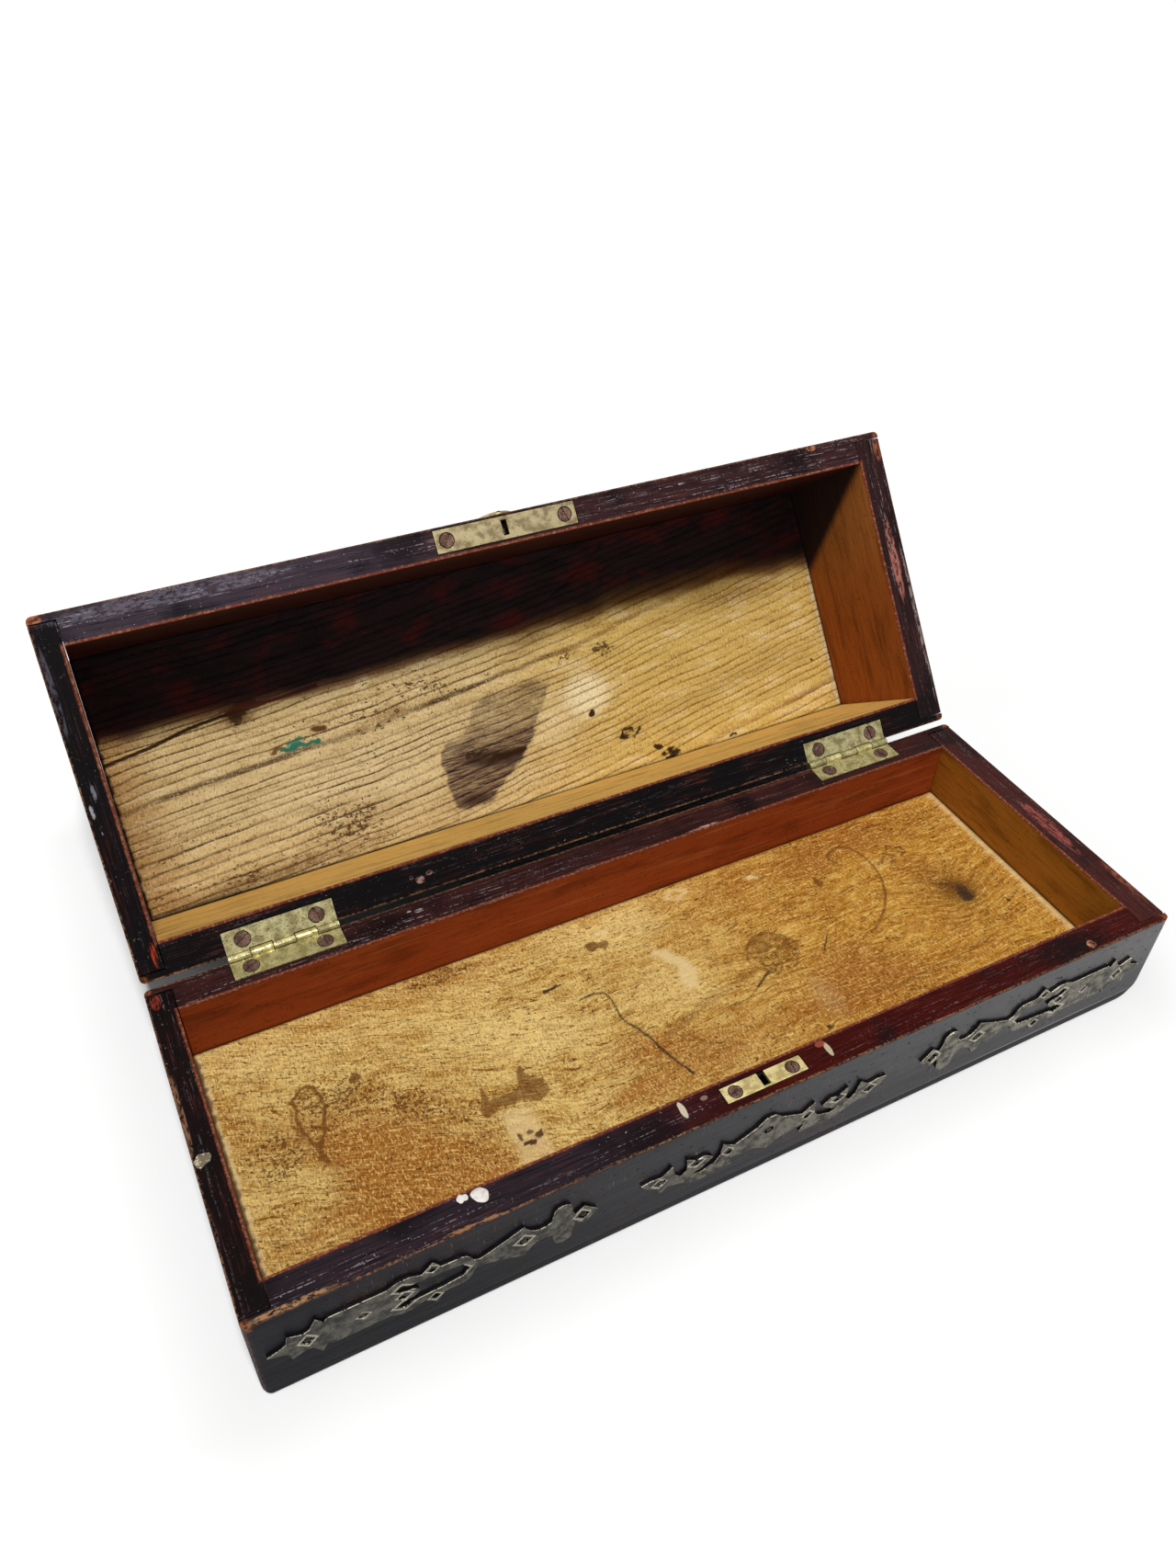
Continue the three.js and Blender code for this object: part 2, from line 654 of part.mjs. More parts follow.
function add(half, name, shape, material) {
  const mesh = new THREE.Mesh(geometryOf(shape), material);
  mesh.name = name;
  (half === lower ? lowerGroup : upperGroup).add(mesh);
}

// The two trays
const bradFace = frontY - mountThickness + bradSink;
const brads = mountBrads();
const trays = { lower: [lower, goldenWood], upper: [upper, pine] };
const recesses = {
  lower_front: [
    ...linkRecess(),
    ...Object.values(brads).map(([x, z]) => bradHole(x, z, bradFace)),
  ],
  upper_front: [
    ...lockRecess(),
    ...keyPlateBrads.map(([x, z]) => bradHole(x, z, keyPlateBradFace, keyPlateBradLength)),
  ],
  lower_back: Object.values(hingeCentres).flatMap((x) => hingeBed(lower, x)),
  upper_back: Object.values(hingeCentres).flatMap((x) => hingeBed(upper, x)),
};
for (const [tray, [half, boardWood]] of Object.entries(trays)) {
  for (const [part, shape] of Object.entries(trayPieces(half))) {
    const name = `${tray}_${part}`;
    add(half, name, cut(shape, ...(recesses[name] ?? [])), part === "board" ? boardWood : ebonised);
  }
}

// The hinges
for (const [side, x] of Object.entries(hingeCentres)) {
  add(lower, `${side}_hinge_pin`, hingePin(x), iron);
  for (const [tray, [half]] of Object.entries(trays)) {
    add(half, `${side}_hinge_${tray}_leaf`, hingeLeaf(half, x), brass);
    leafScrews(x).forEach((at, i) => {
      add(half, `${side}_hinge_${tray}_screw_${i + 1}`, screw(half, at, 0.5 + 1.3 * i), iron);
    });
  }
}

// The lock and its keyhole plate
add(upper, "lock_plate", lockPlate(), oldBrass);
add(upper, "lock_cap", lockCap(), iron);
add(upper, "lock_bolt", lockBolt(), iron);
add(upper, "lock_spring", lockSpring(), iron);
const postEnd = lockCapY + 2 * lockCapThickness;
add(upper, "lock_key_post", keyPostRod(keyPostRadius, lockBackFaceY, postEnd), iron);
lockScrews.forEach((at, i) => add(upper, `lock_screw_${i + 1}`, screw(upper, at, 0.9 + i), iron));
add(upper, "keyhole_plate", keyPlate(), brass);
keyPlateBrads.forEach(([x, z], i) => {
  const pin = brad(x, z, keyPlateBradFace, keyPlateBradLength);
  add(upper, `keyhole_plate_brad_${i + 1}`, pin, iron);
});

// The link plate and the mounts
add(lower, "link_plate", linkPlate(), oldBrass);
linkScrews.forEach((at, i) => {
  add(lower, `link_screw_${i + 1}`, screw(lower, at, 0.4 + i, linkHeadRadius), iron);
});
add(lower, "left_strap", strap(-1), oldBrass);
add(lower, "right_strap", strap(1), oldBrass);
add(lower, "centre_mount", centreMount(), oldBrass);
for (const [name, [x, z]] of Object.entries(brads)) {
  add(lower, name, brad(x, z, bradFace), iron);
}

export default group;
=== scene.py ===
# %% [markdown]
# # An old wooden tool box, standing open
# Two hinged trays: the shallow one lies flat and the deep one, which holds the lock, leans back until its
# rear edge meets the table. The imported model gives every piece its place. This lesson gives the pieces
# their worn edges, their stained wood and their tarnished brass, all from formulas.

# %% Load the fixed frame
import json
import math

import bmesh
import bpy
import numpy as np
from mathutils import Matrix, Vector

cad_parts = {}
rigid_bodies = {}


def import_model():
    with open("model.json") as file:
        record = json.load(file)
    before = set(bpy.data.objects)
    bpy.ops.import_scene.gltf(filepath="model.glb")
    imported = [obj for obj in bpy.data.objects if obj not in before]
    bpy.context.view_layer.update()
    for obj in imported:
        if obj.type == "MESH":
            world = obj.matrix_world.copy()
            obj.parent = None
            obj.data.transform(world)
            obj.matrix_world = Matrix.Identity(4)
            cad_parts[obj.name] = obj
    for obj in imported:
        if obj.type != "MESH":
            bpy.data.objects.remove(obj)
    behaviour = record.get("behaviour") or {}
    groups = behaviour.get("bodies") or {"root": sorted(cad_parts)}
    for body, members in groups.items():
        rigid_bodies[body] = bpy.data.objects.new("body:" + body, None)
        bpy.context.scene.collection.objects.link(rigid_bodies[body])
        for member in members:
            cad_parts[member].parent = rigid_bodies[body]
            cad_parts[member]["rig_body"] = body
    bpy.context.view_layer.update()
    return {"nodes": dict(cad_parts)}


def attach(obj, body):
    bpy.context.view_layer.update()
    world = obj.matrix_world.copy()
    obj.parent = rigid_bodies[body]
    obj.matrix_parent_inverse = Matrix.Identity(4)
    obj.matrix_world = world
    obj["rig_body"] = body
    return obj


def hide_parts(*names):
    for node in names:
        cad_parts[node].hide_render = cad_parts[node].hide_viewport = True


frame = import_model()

scene = bpy.context.scene
MM = 0.001

# %% [markdown]
# ## Camera
# The photograph looks down into both trays from the front left. A camera can be aimed by eye, but some
# corner always stays off. Here its place and its three directions were worked out from the corners of the
# rims, so the render lines up with the photograph.

# %% Camera
SENSOR_MM, PHOTO_WIDTH, FOCAL_PIXELS = 36, 1280, 1306.3
eye = Vector((-0.15516, -0.22218, 0.35101))
to_right = Vector((0.89194, -0.45154, 0.02358))
downwards = Vector((-0.28105, -0.5945, -0.75338))
ahead = Vector((0.3542, 0.66534, -0.65717))
camera_data = bpy.data.cameras.new("camera")
camera_data.sensor_fit = "HORIZONTAL"
camera_data.sensor_width = SENSOR_MM
camera_data.lens = SENSOR_MM * FOCAL_PIXELS / PHOTO_WIDTH
camera_data.clip_start = 0.01
camera = bpy.data.objects.new("camera", camera_data)
camera.matrix_world = Matrix((to_right, -downwards, -ahead)).transposed().to_4x4()
camera.matrix_world.translation = eye
scene.collection.objects.link(camera)
scene.camera = camera
print("lens %.2f mm" % camera_data.lens)

# %% [markdown]
# ## Writing shaders as sums
# A shader is a net of small nodes. It can be linked node by node, but then its formula is hard to see. The
# class below wraps one output socket, so a formula such as `1 - mask` adds its nodes by itself. Every
# other node comes from the method `node`.

# %% The wire class and its helpers
class Wire:
    """One output socket of a shader. Arithmetic on it adds Math nodes, or Vector Math for a vector."""

    def __init__(self, socket):
        self.socket = socket

    def node(self, kind, settings=None, inputs=None, out=0):
        """Adds a node of that kind, gives it its settings, then the values or wires of its sockets, and
        returns its output."""
        tree = self.socket.id_data
        made = tree.nodes.new("ShaderNode" + kind)
        for key, value in (settings or {}).items():
            setattr(made, key, value)
        for key, value in (inputs or {}).items():
            if isinstance(value, Wire):
                tree.links.new(value.socket, made.inputs[key])
            else:
                made.inputs[key].default_value = value
        return Wire(made.outputs[out])

    def maths(self, operation, *others):
        kind = "VectorMath" if self.socket.type == "VECTOR" else "Math"
        return self.node(kind, {"operation": operation}, dict(enumerate((self, *others))))

    def __add__(self, other): return self.maths("ADD", other)
    def __radd__(self, other): return self.maths("ADD", other)
    def __sub__(self, other): return self.maths("SUBTRACT", other)
    def __rsub__(self, other): return self.node("Math", {"operation": "SUBTRACT"}, {0: other, 1: self})
    def __mul__(self, other): return self.maths("MULTIPLY", other)
    def __rmul__(self, other): return self.maths("MULTIPLY", other)
    def __pow__(self, other): return self.maths("POWER", other)
    def __abs__(self): return self.maths("ABSOLUTE")


def least(a, b): return a.maths("MINIMUM", b)
def most(a, b): return a.maths("MAXIMUM", b)


def fade(value, low, high, a=0.0, b=1.0):
    """a where value is at low, b where it is at high, a smooth S between and level beyond."""
    return value.node("MapRange", {"interpolation_type": "SMOOTHSTEP"},
                      {"Value": value, "From Min": low, "From Max": high, "To Min": a, "To Max": b})


def noise(place, size, stretch=(1, 1, 1), detail=3.0, rough=0.55):
    """Cloudy noise about 0.5 with patches `size` mm across, drawn out along each axis by stretch."""
    share = tuple(1 / (size * s) for s in stretch)
    return place.node("TexNoise", {}, {"Vector": place * share, "Scale": 1.0, "Detail": detail,
                                       "Roughness": rough})


def paint(red, green, blue):
    """A colour as a screen shows it, 0 to 255, as the amounts of light that a shader takes."""
    amounts = [c / 255 / 12.92 if c <= 10 else ((c / 255 + 0.055) / 1.055) ** 2.4 for c in (red, green, blue)]
    return (*amounts, 1)


def tint(base, colour, share):
    """The base colour turned into another by share, from 0 to 1. Each colour is a wire, or red, green and
    blue as a screen shows them."""
    wire = next(w for w in (base, colour, share) if isinstance(w, Wire))
    base, colour = (c if isinstance(c, Wire) else paint(*c) for c in (base, colour))
    return wire.node("Mix", {"data_type": "RGBA"}, {0: share, 6: base, 7: colour}, 2)


def coats(base, *layers):
    """The base colour under thin coats, each given as its colour and the share that it covers."""
    for colour, share in layers:
        base = tint(base, colour, share)
    return base


def split(place):
    """The three coordinates of a place."""
    return [place.node("SeparateXYZ", {}, {0: place}, i) for i in range(3)]


def spot(place, x, y, rx, ry, soft):
    """1 inside an oval about (x, y) and 0 outside it, seen along z, with a soft edge."""
    px, py, _ = split(place)
    away = ((px - x) * (1 / rx)) ** 2 + ((py - y) * (1 / ry)) ** 2
    return fade(away, 1 + soft, 1 - soft)


def ragged(mark, grit, share=0.55):
    """A soft mark, a share of which is cut off along a ragged line where grit, a noise, makes it fall."""
    return mark * (1 - share) + fade(mark + (grit - 0.5) * 1.1, 0.36, 0.54) * share


PIN_Y, PIN_Z = 62.2, 42.1
OPEN_ANGLE = math.radians(127.5448)


def start(name, half="lower"):
    """A new material: itself, its shader node, and the place on the piece in mm as the closed box has it.
    The deep tray's pattern is turned back about the hinge pins, so both trays can be laid out alike."""
    material = bpy.data.materials.new(name)
    material.use_nodes = True
    tree = material.node_tree
    here = Wire(tree.nodes.new("ShaderNodeTexCoord").outputs["Object"])
    turn = Matrix.Rotation(OPEN_ANGLE if half == "upper" else 0, 3, "X")
    pin = Vector((0, PIN_Y, PIN_Z))
    place = here.node("Mapping", {}, {"Vector": here, "Scale": (1000, 1000, 1000),
                                      "Rotation": turn.to_euler(), "Location": pin - turn @ pin})
    return material, tree.nodes["Principled BSDF"], place


def dress(shader, colour, rough, relief=None, height=0.1, **others):
    """Links or sets a shader's sockets. height is the relief's full depth in mm."""
    tree = shader.id_data
    sockets = {"Base Color": colour, "Roughness": rough}
    sockets.update({key.replace("_", " "): value for key, value in others.items()})
    if relief is not None:
        sockets["Normal"] = relief.node("Bump", {}, {"Height": relief, "Distance": height * MM,
                                                     "Strength": 1.0})
    for key, value in sockets.items():
        if isinstance(value, Wire):
            tree.links.new(value.socket, shader.inputs[key])
        else:
            shader.inputs[key].default_value = value


# %% [markdown]
# ## Light and table
# One lamp stands high and a little to the front. It lights the floor of both trays and lets the front wall
# of the deep tray throw its shadow on the board behind it, where a shadow painted into the board and the
# right end wall makes it deeper. A weak, very wide lamp on the left lights the right ends from inside. Both
# are suns, because a near lamp would light one end of the long box more than the other. The table and the
# sky are white where the camera or a reflection sees them, and only softly bright for everything else.

# %% Lamps and sky
def lamp(name, energy, spread, travels):
    """A far lamp whose light travels along a direction. spread is how wide it looks, in degrees."""
    data = bpy.data.lights.new(name, "SUN")
    data.energy, data.angle = energy, math.radians(spread)
    made = bpy.data.objects.new(name, data)
    made.rotation_euler = Vector(travels).to_track_quat("-Z", "Y").to_euler()
    scene.collection.objects.link(made)


def seen_in(tree):
    """1 for what the camera, a gloss or a glass looks at, and 0 for the light that a surface gets."""
    path = tree.nodes.new("ShaderNodeLightPath")
    camera_ray, glossy_ray, passing_ray = (Wire(path.outputs[f"Is {kind} Ray"])
                                           for kind in ("Camera", "Glossy", "Transmission"))
    return most(most(camera_ray, glossy_ray), passing_ray)


lamp("ceiling_light", 2.75, 8, (0.0, 0.36, -0.93))
lamp("side_light", 0.6, 40, (0.90, 0.05, -0.35))
SOFT_GLOW = 0.1
sky = bpy.data.worlds.new("sky")
sky.use_nodes = True
scene.world = sky
background = sky.node_tree.nodes["Background"]
background.inputs["Color"].default_value = (1, 1, 1, 1)
sky_strength = seen_in(sky.node_tree) * (1 - SOFT_GLOW) + SOFT_GLOW
sky.node_tree.links.new(sky_strength.socket, background.inputs["Strength"])

# %% Table
REACH = 3.0
table_material, table_shader, table_place = start("pale_table")
dress(table_shader, tint((250, 250, 249), (246, 246, 246), noise(table_place, 60)), 0.9,
      Specular_IOR_Level=0.0)
table_tree = table_material.node_tree
table_seen = seen_in(table_tree)
x, y, _ = split(table_place)
beyond = least(fade(abs(x), 165, 205) + fade(abs(y - 66), 127, 160), 1.0)
white = table_seen.node("Emission", {}, {"Color": beyond, "Strength": 0.14})
bare = Wire(table_shader.outputs[0])
both = bare.node("AddShader", {}, {0: bare, 1: white})
shown = bare.node("MixShader", {}, {0: table_seen, 1: bare, 2: both})
table_tree.links.new(shown.socket, table_tree.nodes["Material Output"].inputs["Surface"])
table_mesh = bpy.data.meshes.new("table")
table_mesh.from_pydata([(REACH * a, REACH * b, -0.0002) for a, b in ((-1, -1), (1, -1), (1, 1), (-1, 1))], [],
                       [(0, 1, 2, 3)])
table_mesh.materials.append(table_material)
table = bpy.data.objects.new("table", table_mesh)
scene.collection.objects.link(table)
print("table:", 2 * REACH, "m wide")

# %% [markdown]
# ## Dark outer wood
# The walls are a reddish hardwood, blackened outside and on the rims and left brown inside. Every face
# could have a material of its own, but a wall is one board, and its finishes meet along worn edges. So one
# recipe covers it all: distances from the rim and from the inner faces tell which finish a point has. The
# black is rubbed through along the edges, where the red wood shows, and scratched along the grain.

# %% The blackened outside
def along_grain(along, length, across=1):
    """How far a noise is drawn out on each axis, for a grain that runs along x or y."""
    return (length, across, across) if along == "x" else (across, length, across)


def blackened(place, along="x"):
    """The outside's finish: blue-black and dull, with worm pits, short pale hairlines and some brown left.
    Returns the colour, then the fine, broad and cloudy noise it is made of, and the pits."""
    drawn_out = along_grain(along, 30)
    fine = noise(place, 0.5, drawn_out, 4, 0.6)
    broad = noise(place, 4, drawn_out, 3, 0.5)
    cloudy = noise(place, 22, (1, 1, 1), 3, 0.5)
    pits = fade(noise(place, 1.4, (1.6, 1, 1), 3, 0.6), 0.36, 0.31)
    slanting = (1.2, 14, 14) if along == "x" else (14, 1.2, 14)
    hairline = fade(noise(place, 0.4, slanting, 2, 0.5), 0.66, 0.7)
    black = coats(
        tint((14, 13, 17), (38, 35, 44), fade(fine, 0.35, 0.75)),
        ((52, 24, 20), fade(cloudy, 0.52, 0.75, 0, 0.45)),
        ((6, 6, 8), fade(broad, 0.5, 0.3, 0, 0.8)),
        ((4, 3, 4), pits),
        ((120, 110, 104), hairline * fade(cloudy, 0.48, 0.6) * 0.5))
    return black, fine, broad, cloudy, pits


# %% The rims
LEFT_IN, RIGHT_IN, FRONT_IN, BACK_IN = -156.5, 153.7, -49.8, 49.0


def rim_finish(place, half, drawn_out, noises, marks):
    """A tray's rims: each with its own dark brown, lighter and blacker along the grain, with pale scratches
    and chips. noises are the fine, broad and cloudy ones and the grit."""
    fine, broad, cloudy, grit = noises
    x, y, _ = split(place)
    upper = half == "upper"
    left_rim = fade(x, LEFT_IN - 0.1, LEFT_IN - 0.3)
    right_rim = fade(x, RIGHT_IN + 0.1, RIGHT_IN + 0.3)
    short_of_corner = fade(abs(y), 58.6, 58.4)
    hair = fade(noise(place, 0.42, drawn_out, 2, 0.5), 0.58, 0.67) * fade(grit, 0.42, 0.58)
    scratched = (1 - fade(y, 0, 2, 0, 0.75)) if upper else fade(x, -60, 10, 0.9, 0.3)
    scratched = scratched * (1 - left_rim * 0.6)
    chipped = fade(noise(place, 14, (1, 1, 1), 2), 0.5, 0.62)
    chip = fade(noise(place, 1.3, (1, 1, 1), 4, 0.7), 0.66, 0.7) * chipped
    return coats(
        tint(*marks["rim_front"], fade(x, -70, 0)),
        (marks["rim_back"], fade(y, 0, 2)),
        (marks["rim_left"], left_rim * short_of_corner),
        (marks["rim_right"], right_rim * short_of_corner),
        ((8, 5, 6), fade(fine, 0.52, 0.3) * 0.75),
        ((110, 52, 40), fade(fine, 0.5, 0.78) * fade(cloudy, 0.42, 0.62) * 0.6),
        ((8, 6, 8), most(fade(cloudy, 0.5, 0.34) * 0.7, left_rim * (0.45 if upper else 0.15))),
        ((176, 164, 166), hair * fade(broad, 0.42, 0.6) * scratched * 0.75),
        ((190, 180, 172), fade(noise(place, 0.8, (1, 1, 1), 2, 0.6), 0.70, 0.76) * scratched * 0.8),
        ((176, 164, 156), chip * 0.7))


# %% The inner faces
def inner_finish(place, half, drawn_out, noises, marks, deep):
    """A tray's inner faces: each wall its own brown, under dark and light grain, smears and specks. In the
    deep tray, painted shade darkens the front wall and a painted shadow lies on the right end. deep is the
    depth below the rim."""
    cloudy, grit = noises[2:]
    x, y, _ = split(place)
    upper = half == "upper"
    inside = tint(marks["front"], marks["back"], fade(y, 0, 2))
    # painted shade: below its rim the deep tray's front inner wall turns near black
    if upper:
        inside = tint(inside, (44, 22, 24), fade(y, 2, 0) * fade(deep, 1.5, 5) * 0.9)
    on_right = fade(x, RIGHT_IN - 0.6, RIGHT_IN - 0.2)
    inside = coats(
        inside, (marks["left"], fade(x, LEFT_IN + 0.6, LEFT_IN + 0.2)),
        (tint(marks["right"], marks["right_back"], fade(y, -44, 14)), on_right),
        ((60, 26, 8), fade(noise(place, 0.5, drawn_out, 4, 0.7), 0.5, 0.72, 0, 0.6)),
        ((226, 170, 92), fade(noise(place, 1.6, drawn_out, 4, 0.6), 0.54, 0.85, 0, 0.25)),
        ((50, 20, 8), fade(noise(place, 6, (5, 5, 1), 5, 0.65), 0.52, 0.32, 0, 0.4)),
        ((44, 18, 8), fade(grit, 0.6, 0.68) * fade(cloudy, 0.36, 0.56, 0.1, 0.5)),
        ((40, 18, 8), fade(deep, marks["depth"] - 1.6, marks["depth"] - 0.1) * 0.6))
    if upper:
        # a painted shadow of the front wall on the right end: a dark wedge that widens with the depth
        painted_shadow_wedge = fade(y - FRONT_IN - deep * 0.68, 3.5, -3) * on_right
        inside = tint(inside, (28, 27, 32), painted_shadow_wedge * 0.95)
    return inside


# %% Wall finishes
HALF_LENGTH, HALF_BREADTH = 165, 61
LOWER_RIM, UPPER_RIM = 41.9, 42.3


def wall_finish(name, half, along, marks):
    """Blackened wood for the walls of one tray. along is the axis of the grain, and marks holds the tray's
    own colours, its depth, the depth of its painted highlight line, and the spots and chips on its rim as
    (x, y, rx, ry, colour, share)."""
    material, shader, place = start(name, half)
    x, y, z = split(place)
    drawn_out = along_grain(along, 30)
    black, fine, broad, cloudy, pits = blackened(place, along)
    grit = noise(place, 1.1, (1, 1, 1), 3, 0.6)
    noises = fine, broad, cloudy, grit
    wobble = (noise(place, 3.5, (1, 1, 1), 4, 0.65) - 0.5) * 2

    # depth below the rim, distance into the tray's opening (negative in the wood), and from the outer faces
    deep = z - UPPER_RIM if half == "upper" else LOWER_RIM - z
    room = least(least(x - LEFT_IN, RIGHT_IN - x), least(y - FRONT_IN, BACK_IN - y))
    from_end = least(x + HALF_LENGTH, HALF_LENGTH - x)
    from_side = least(y + HALF_BREADTH, HALF_BREADTH - y)
    edge = most(least(from_end, from_side), deep)
    upright = most(from_end, from_side)
    rim = fade(deep, 0.45, 0.12)
    inner = (fade(room, -0.34, -0.14) * fade(deep, 0.35, 0.75)
             * fade(deep, marks["depth"] + 0.8, marks["depth"] + 0.4))

    # a painted highlight line round the outside, and painted shade over its lower left
    painted_highlight = fade(abs(deep - marks["painted_highlight"]), 0.45, 0.15)
    black = coats(black, ((150, 144, 140), painted_highlight * fade(broad, 0.36, 0.55) * 0.6),
                  ((3, 5, 10), fade(deep, 10, 32) * fade(x, -10, -110) * 0.92))

    # rubbed edges: tan wood along the outer top edge, orange at the corners, pink brown at the opening
    rubbed = fade(edge + wobble * 0.75, 0.75, 0.2) * fade(grit, 0.38, 0.58)
    worn = fade(most(upright, deep) + wobble * 2.2, 3.4, 1.2) * fade(grit, 0.35, 0.6)
    lining = fade(room + wobble * 0.35, -1.25, -0.45) * fade(deep + wobble * 0.4, 1.0, 0.35)
    colour = coats(
        black, (rim_finish(place, half, drawn_out, noises, marks), rim),
        (tint((92, 58, 42), (168, 122, 84), fade(fine, 0.35, 0.7)), rubbed * 0.85),
        ((150, 84, 48), worn * 0.8),
        (tint((122, 58, 42), (176, 118, 84), fade(grit, 0.45, 0.7)), lining * 0.8),
        ((98, 60, 42), fade(upright + wobble * 0.8, 1.5, 0.6) * fade(grit, 0.45, 0.62) * 0.7),
        (inner_finish(place, half, drawn_out, noises, marks, deep), inner))

    broken = fade(noise(place, 1.0, (2.5, 1, 1) if along == "x" else (1, 3.5, 1), 4, 0.75), 0.42, 0.56)
    for sx, sy, rx, ry, patch, share in marks["spots"]:
        colour = tint(colour, patch, spot(place, sx, sy, rx, ry, 0.45) * rim * broken * share)
    for sx, sy, rx, ry, patch, share in marks["chips"]:
        colour = tint(colour, patch, spot(place, sx + wobble * 0.3, sy, rx, ry, 0.2) * rim * share)

    # the front is polished most at the top and at the right, and dull below the painted highlight line and in
    # the pits
    polish = (fade(deep, 0.4, 1.2) * (1 - inner) * fade(x, -170, 150, 0.0, 0.76) * fade(deep, 8, 36, 1, 0.55)
              * fade(fine, 0.3, 0.6, 0.7, 1.0)
              * fade(deep, marks["painted_highlight"] + 0.9, marks["painted_highlight"] + 0.3, 0.1, 1.0) * (1 - pits))
    dress(shader, colour, fade(fine, 0.3, 0.75, 0.34, 0.52) + rubbed * 0.2 + inner * 0.12,
          relief=fine * 0.5 + broad + grit * 0.35, height=0.16,
          Specular_IOR_Level=0.05, Coat_Roughness=0.28, Coat_Weight=polish)
    return material


# %% The marks of each tray and the four finishes
TRAY_MARKS = {"lower": {
    "back": (144, 62, 26), "front": (110, 44, 18), "left": (130, 66, 24),
    "right": (172, 112, 36), "right_back": (173, 113, 38), "depth": 24.4, "painted_highlight": 36.6,
    "rim_front": ((40, 32, 38), (60, 8, 3)), "rim_back": (50, 26, 24),
    "rim_left": (18, 8, 8), "rim_right": (66, 30, 26),
    "spots": [
        (159.4, -6, 2.2, 16, (166, 88, 80), 0.75), (-162.3, 55, 1.6, 3.2, (150, 60, 44), 0.8),
        (-152, -60, 12, 0.9, (176, 132, 92), 0.9), (-104, -60.3, 5, 0.6, (170, 120, 80), 0.8),
        (-95, -60.4, 3, 0.5, (170, 120, 80), 0.8), (-164, 10, 0.7, 14, (150, 110, 84), 0.7),
        (163.5, -40, 1.2, 10, (150, 84, 54), 0.8), (60, 59.5, 60, 0.9, (96, 52, 40), 0.6),
        (-72, 56.2, 1.7, 0.8, (176, 168, 164), 0.8), (-75.4, 57, 0.8, 0.6, (176, 168, 164), 0.8),
        (40, 50.2, 6, 0.5, (216, 160, 140), 0.8), (124, -56, 17, 4.4, (12, 6, 7), 0.85),
        (130.5, -58.2, 1.6, 1.6, (214, 150, 120), 1.0)],
    "chips": [
        (-30, -53.9, 1.0, 3.0, (206, 194, 168), 1.0), (22.6, -54.6, 0.9, 2.8, (196, 180, 150), 0.95),
        (21.2, -51.9, 1.7, 1.1, (150, 74, 60), 0.9), (-22, -53, 1.2, 0.8, (150, 130, 116), 0.7)],
}, "upper": {
    "back": (230, 182, 98), "front": (84, 34, 26), "left": (150, 84, 34),
    "right": (188, 121, 60), "right_back": (166, 91, 38), "depth": 54.4, "painted_highlight": 80,
    "rim_front": ((60, 50, 60), (54, 32, 34)), "rim_back": (9, 6, 7),
    "rim_left": (9, 6, 8), "rim_right": (44, 26, 26),
    "spots": [
        (159.4, -9, 1.9, 17, (178, 112, 100), 0.85), (-158.4, 53, 0.9, 4, (176, 62, 36), 0.8),
        (-163, -59.6, 2.6, 1.6, (180, 104, 62), 0.95), (-67.6, 56.6, 1.5, 1.3, (170, 134, 118), 0.85),
        (-63.8, 55.2, 1.3, 0.8, (150, 116, 104), 0.8), (-70.4, 55, 0.8, 0.7, (120, 90, 84), 0.8),
        (132, -59.8, 2.2, 1.2, (190, 116, 84), 0.85), (163, -54, 1.6, 5, (150, 84, 54), 0.8),
        (-163.2, 3, 0.7, 2.2, (180, 176, 182), 0.7), (-162, 9.5, 0.6, 1.4, (180, 176, 182), 0.6),
        # (-163.4, -36) here and (-120, -58) below are a painted bluish highlight on the left and front rims
        (-161, -3, 0.7, 2.4, (140, 136, 146), 0.6), (-163.4, -36, 1.0, 14, (110, 106, 118), 0.4),
        (-120, -58, 40, 2.6, (140, 136, 150), 0.32), (163.6, 20, 0.7, 30, (170, 150, 144), 0.6)],
    "chips": [],
}}
walls = {(half, run): wall_finish(f"blackened_wood_{half}_{run}", half, along, TRAY_MARKS[half])
         for half in ("lower", "upper") for run, along in (("long", "x"), ("ends", "y"))}
print("wall finishes:", {key: len(made.node_tree.nodes) for key, made in walls.items()})

# %% [markdown]
# ## Eased edges
# A wall straight from the plane has sharp arrises. A hundred years of hands round them. A merged copy of
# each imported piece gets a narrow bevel, which is the cheapest way to make an edge catch the light.

# %% Eased copies of the walls
def add_piece(name, mesh, material, body, stands_for=None):
    """Puts a finished mesh into the scene with its material, on its body, and hides the imported piece that it
    stands for.
    """
    mesh.materials.clear()
    mesh.materials.append(material)
    piece = bpy.data.objects.new(name, mesh)
    scene.collection.objects.link(piece)
    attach(piece, body)
    if stands_for:
        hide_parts(stands_for)
    return piece


def eased(node, width, material, segments=2, angle=25):
    """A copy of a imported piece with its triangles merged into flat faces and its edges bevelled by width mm.
    It stands for the piece, rides on the same body and keeps its place."""
    source = frame["nodes"][node]
    mesh = source.data.copy()
    merged = bmesh.new()
    merged.from_mesh(mesh)
    bmesh.ops.remove_doubles(merged, verts=merged.verts, dist=2e-6)
    bmesh.ops.dissolve_limit(merged, angle_limit=math.radians(1), verts=merged.verts, edges=merged.edges)
    merged.to_mesh(mesh)
    merged.free()
    mesh.polygons.foreach_set("use_smooth", np.zeros(len(mesh.polygons), bool))
    piece = add_piece(node + "_eased", mesh, material, source["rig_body"], node)
    bevel = piece.modifiers.new("eased_edges", "BEVEL")
    bevel.width, bevel.segments = width * MM, segments
    bevel.limit_method, bevel.angle_limit = "ANGLE", math.radians(angle)


for half in ("lower", "upper"):
    for side in ("front", "back"):
        eased(f"{half}_{side}", 0.5, walls[half, "long"], 3)
    for side in ("left_end", "right_end"):
        eased(f"{half}_{side}", 0.45, walls[half, "ends"], 3)
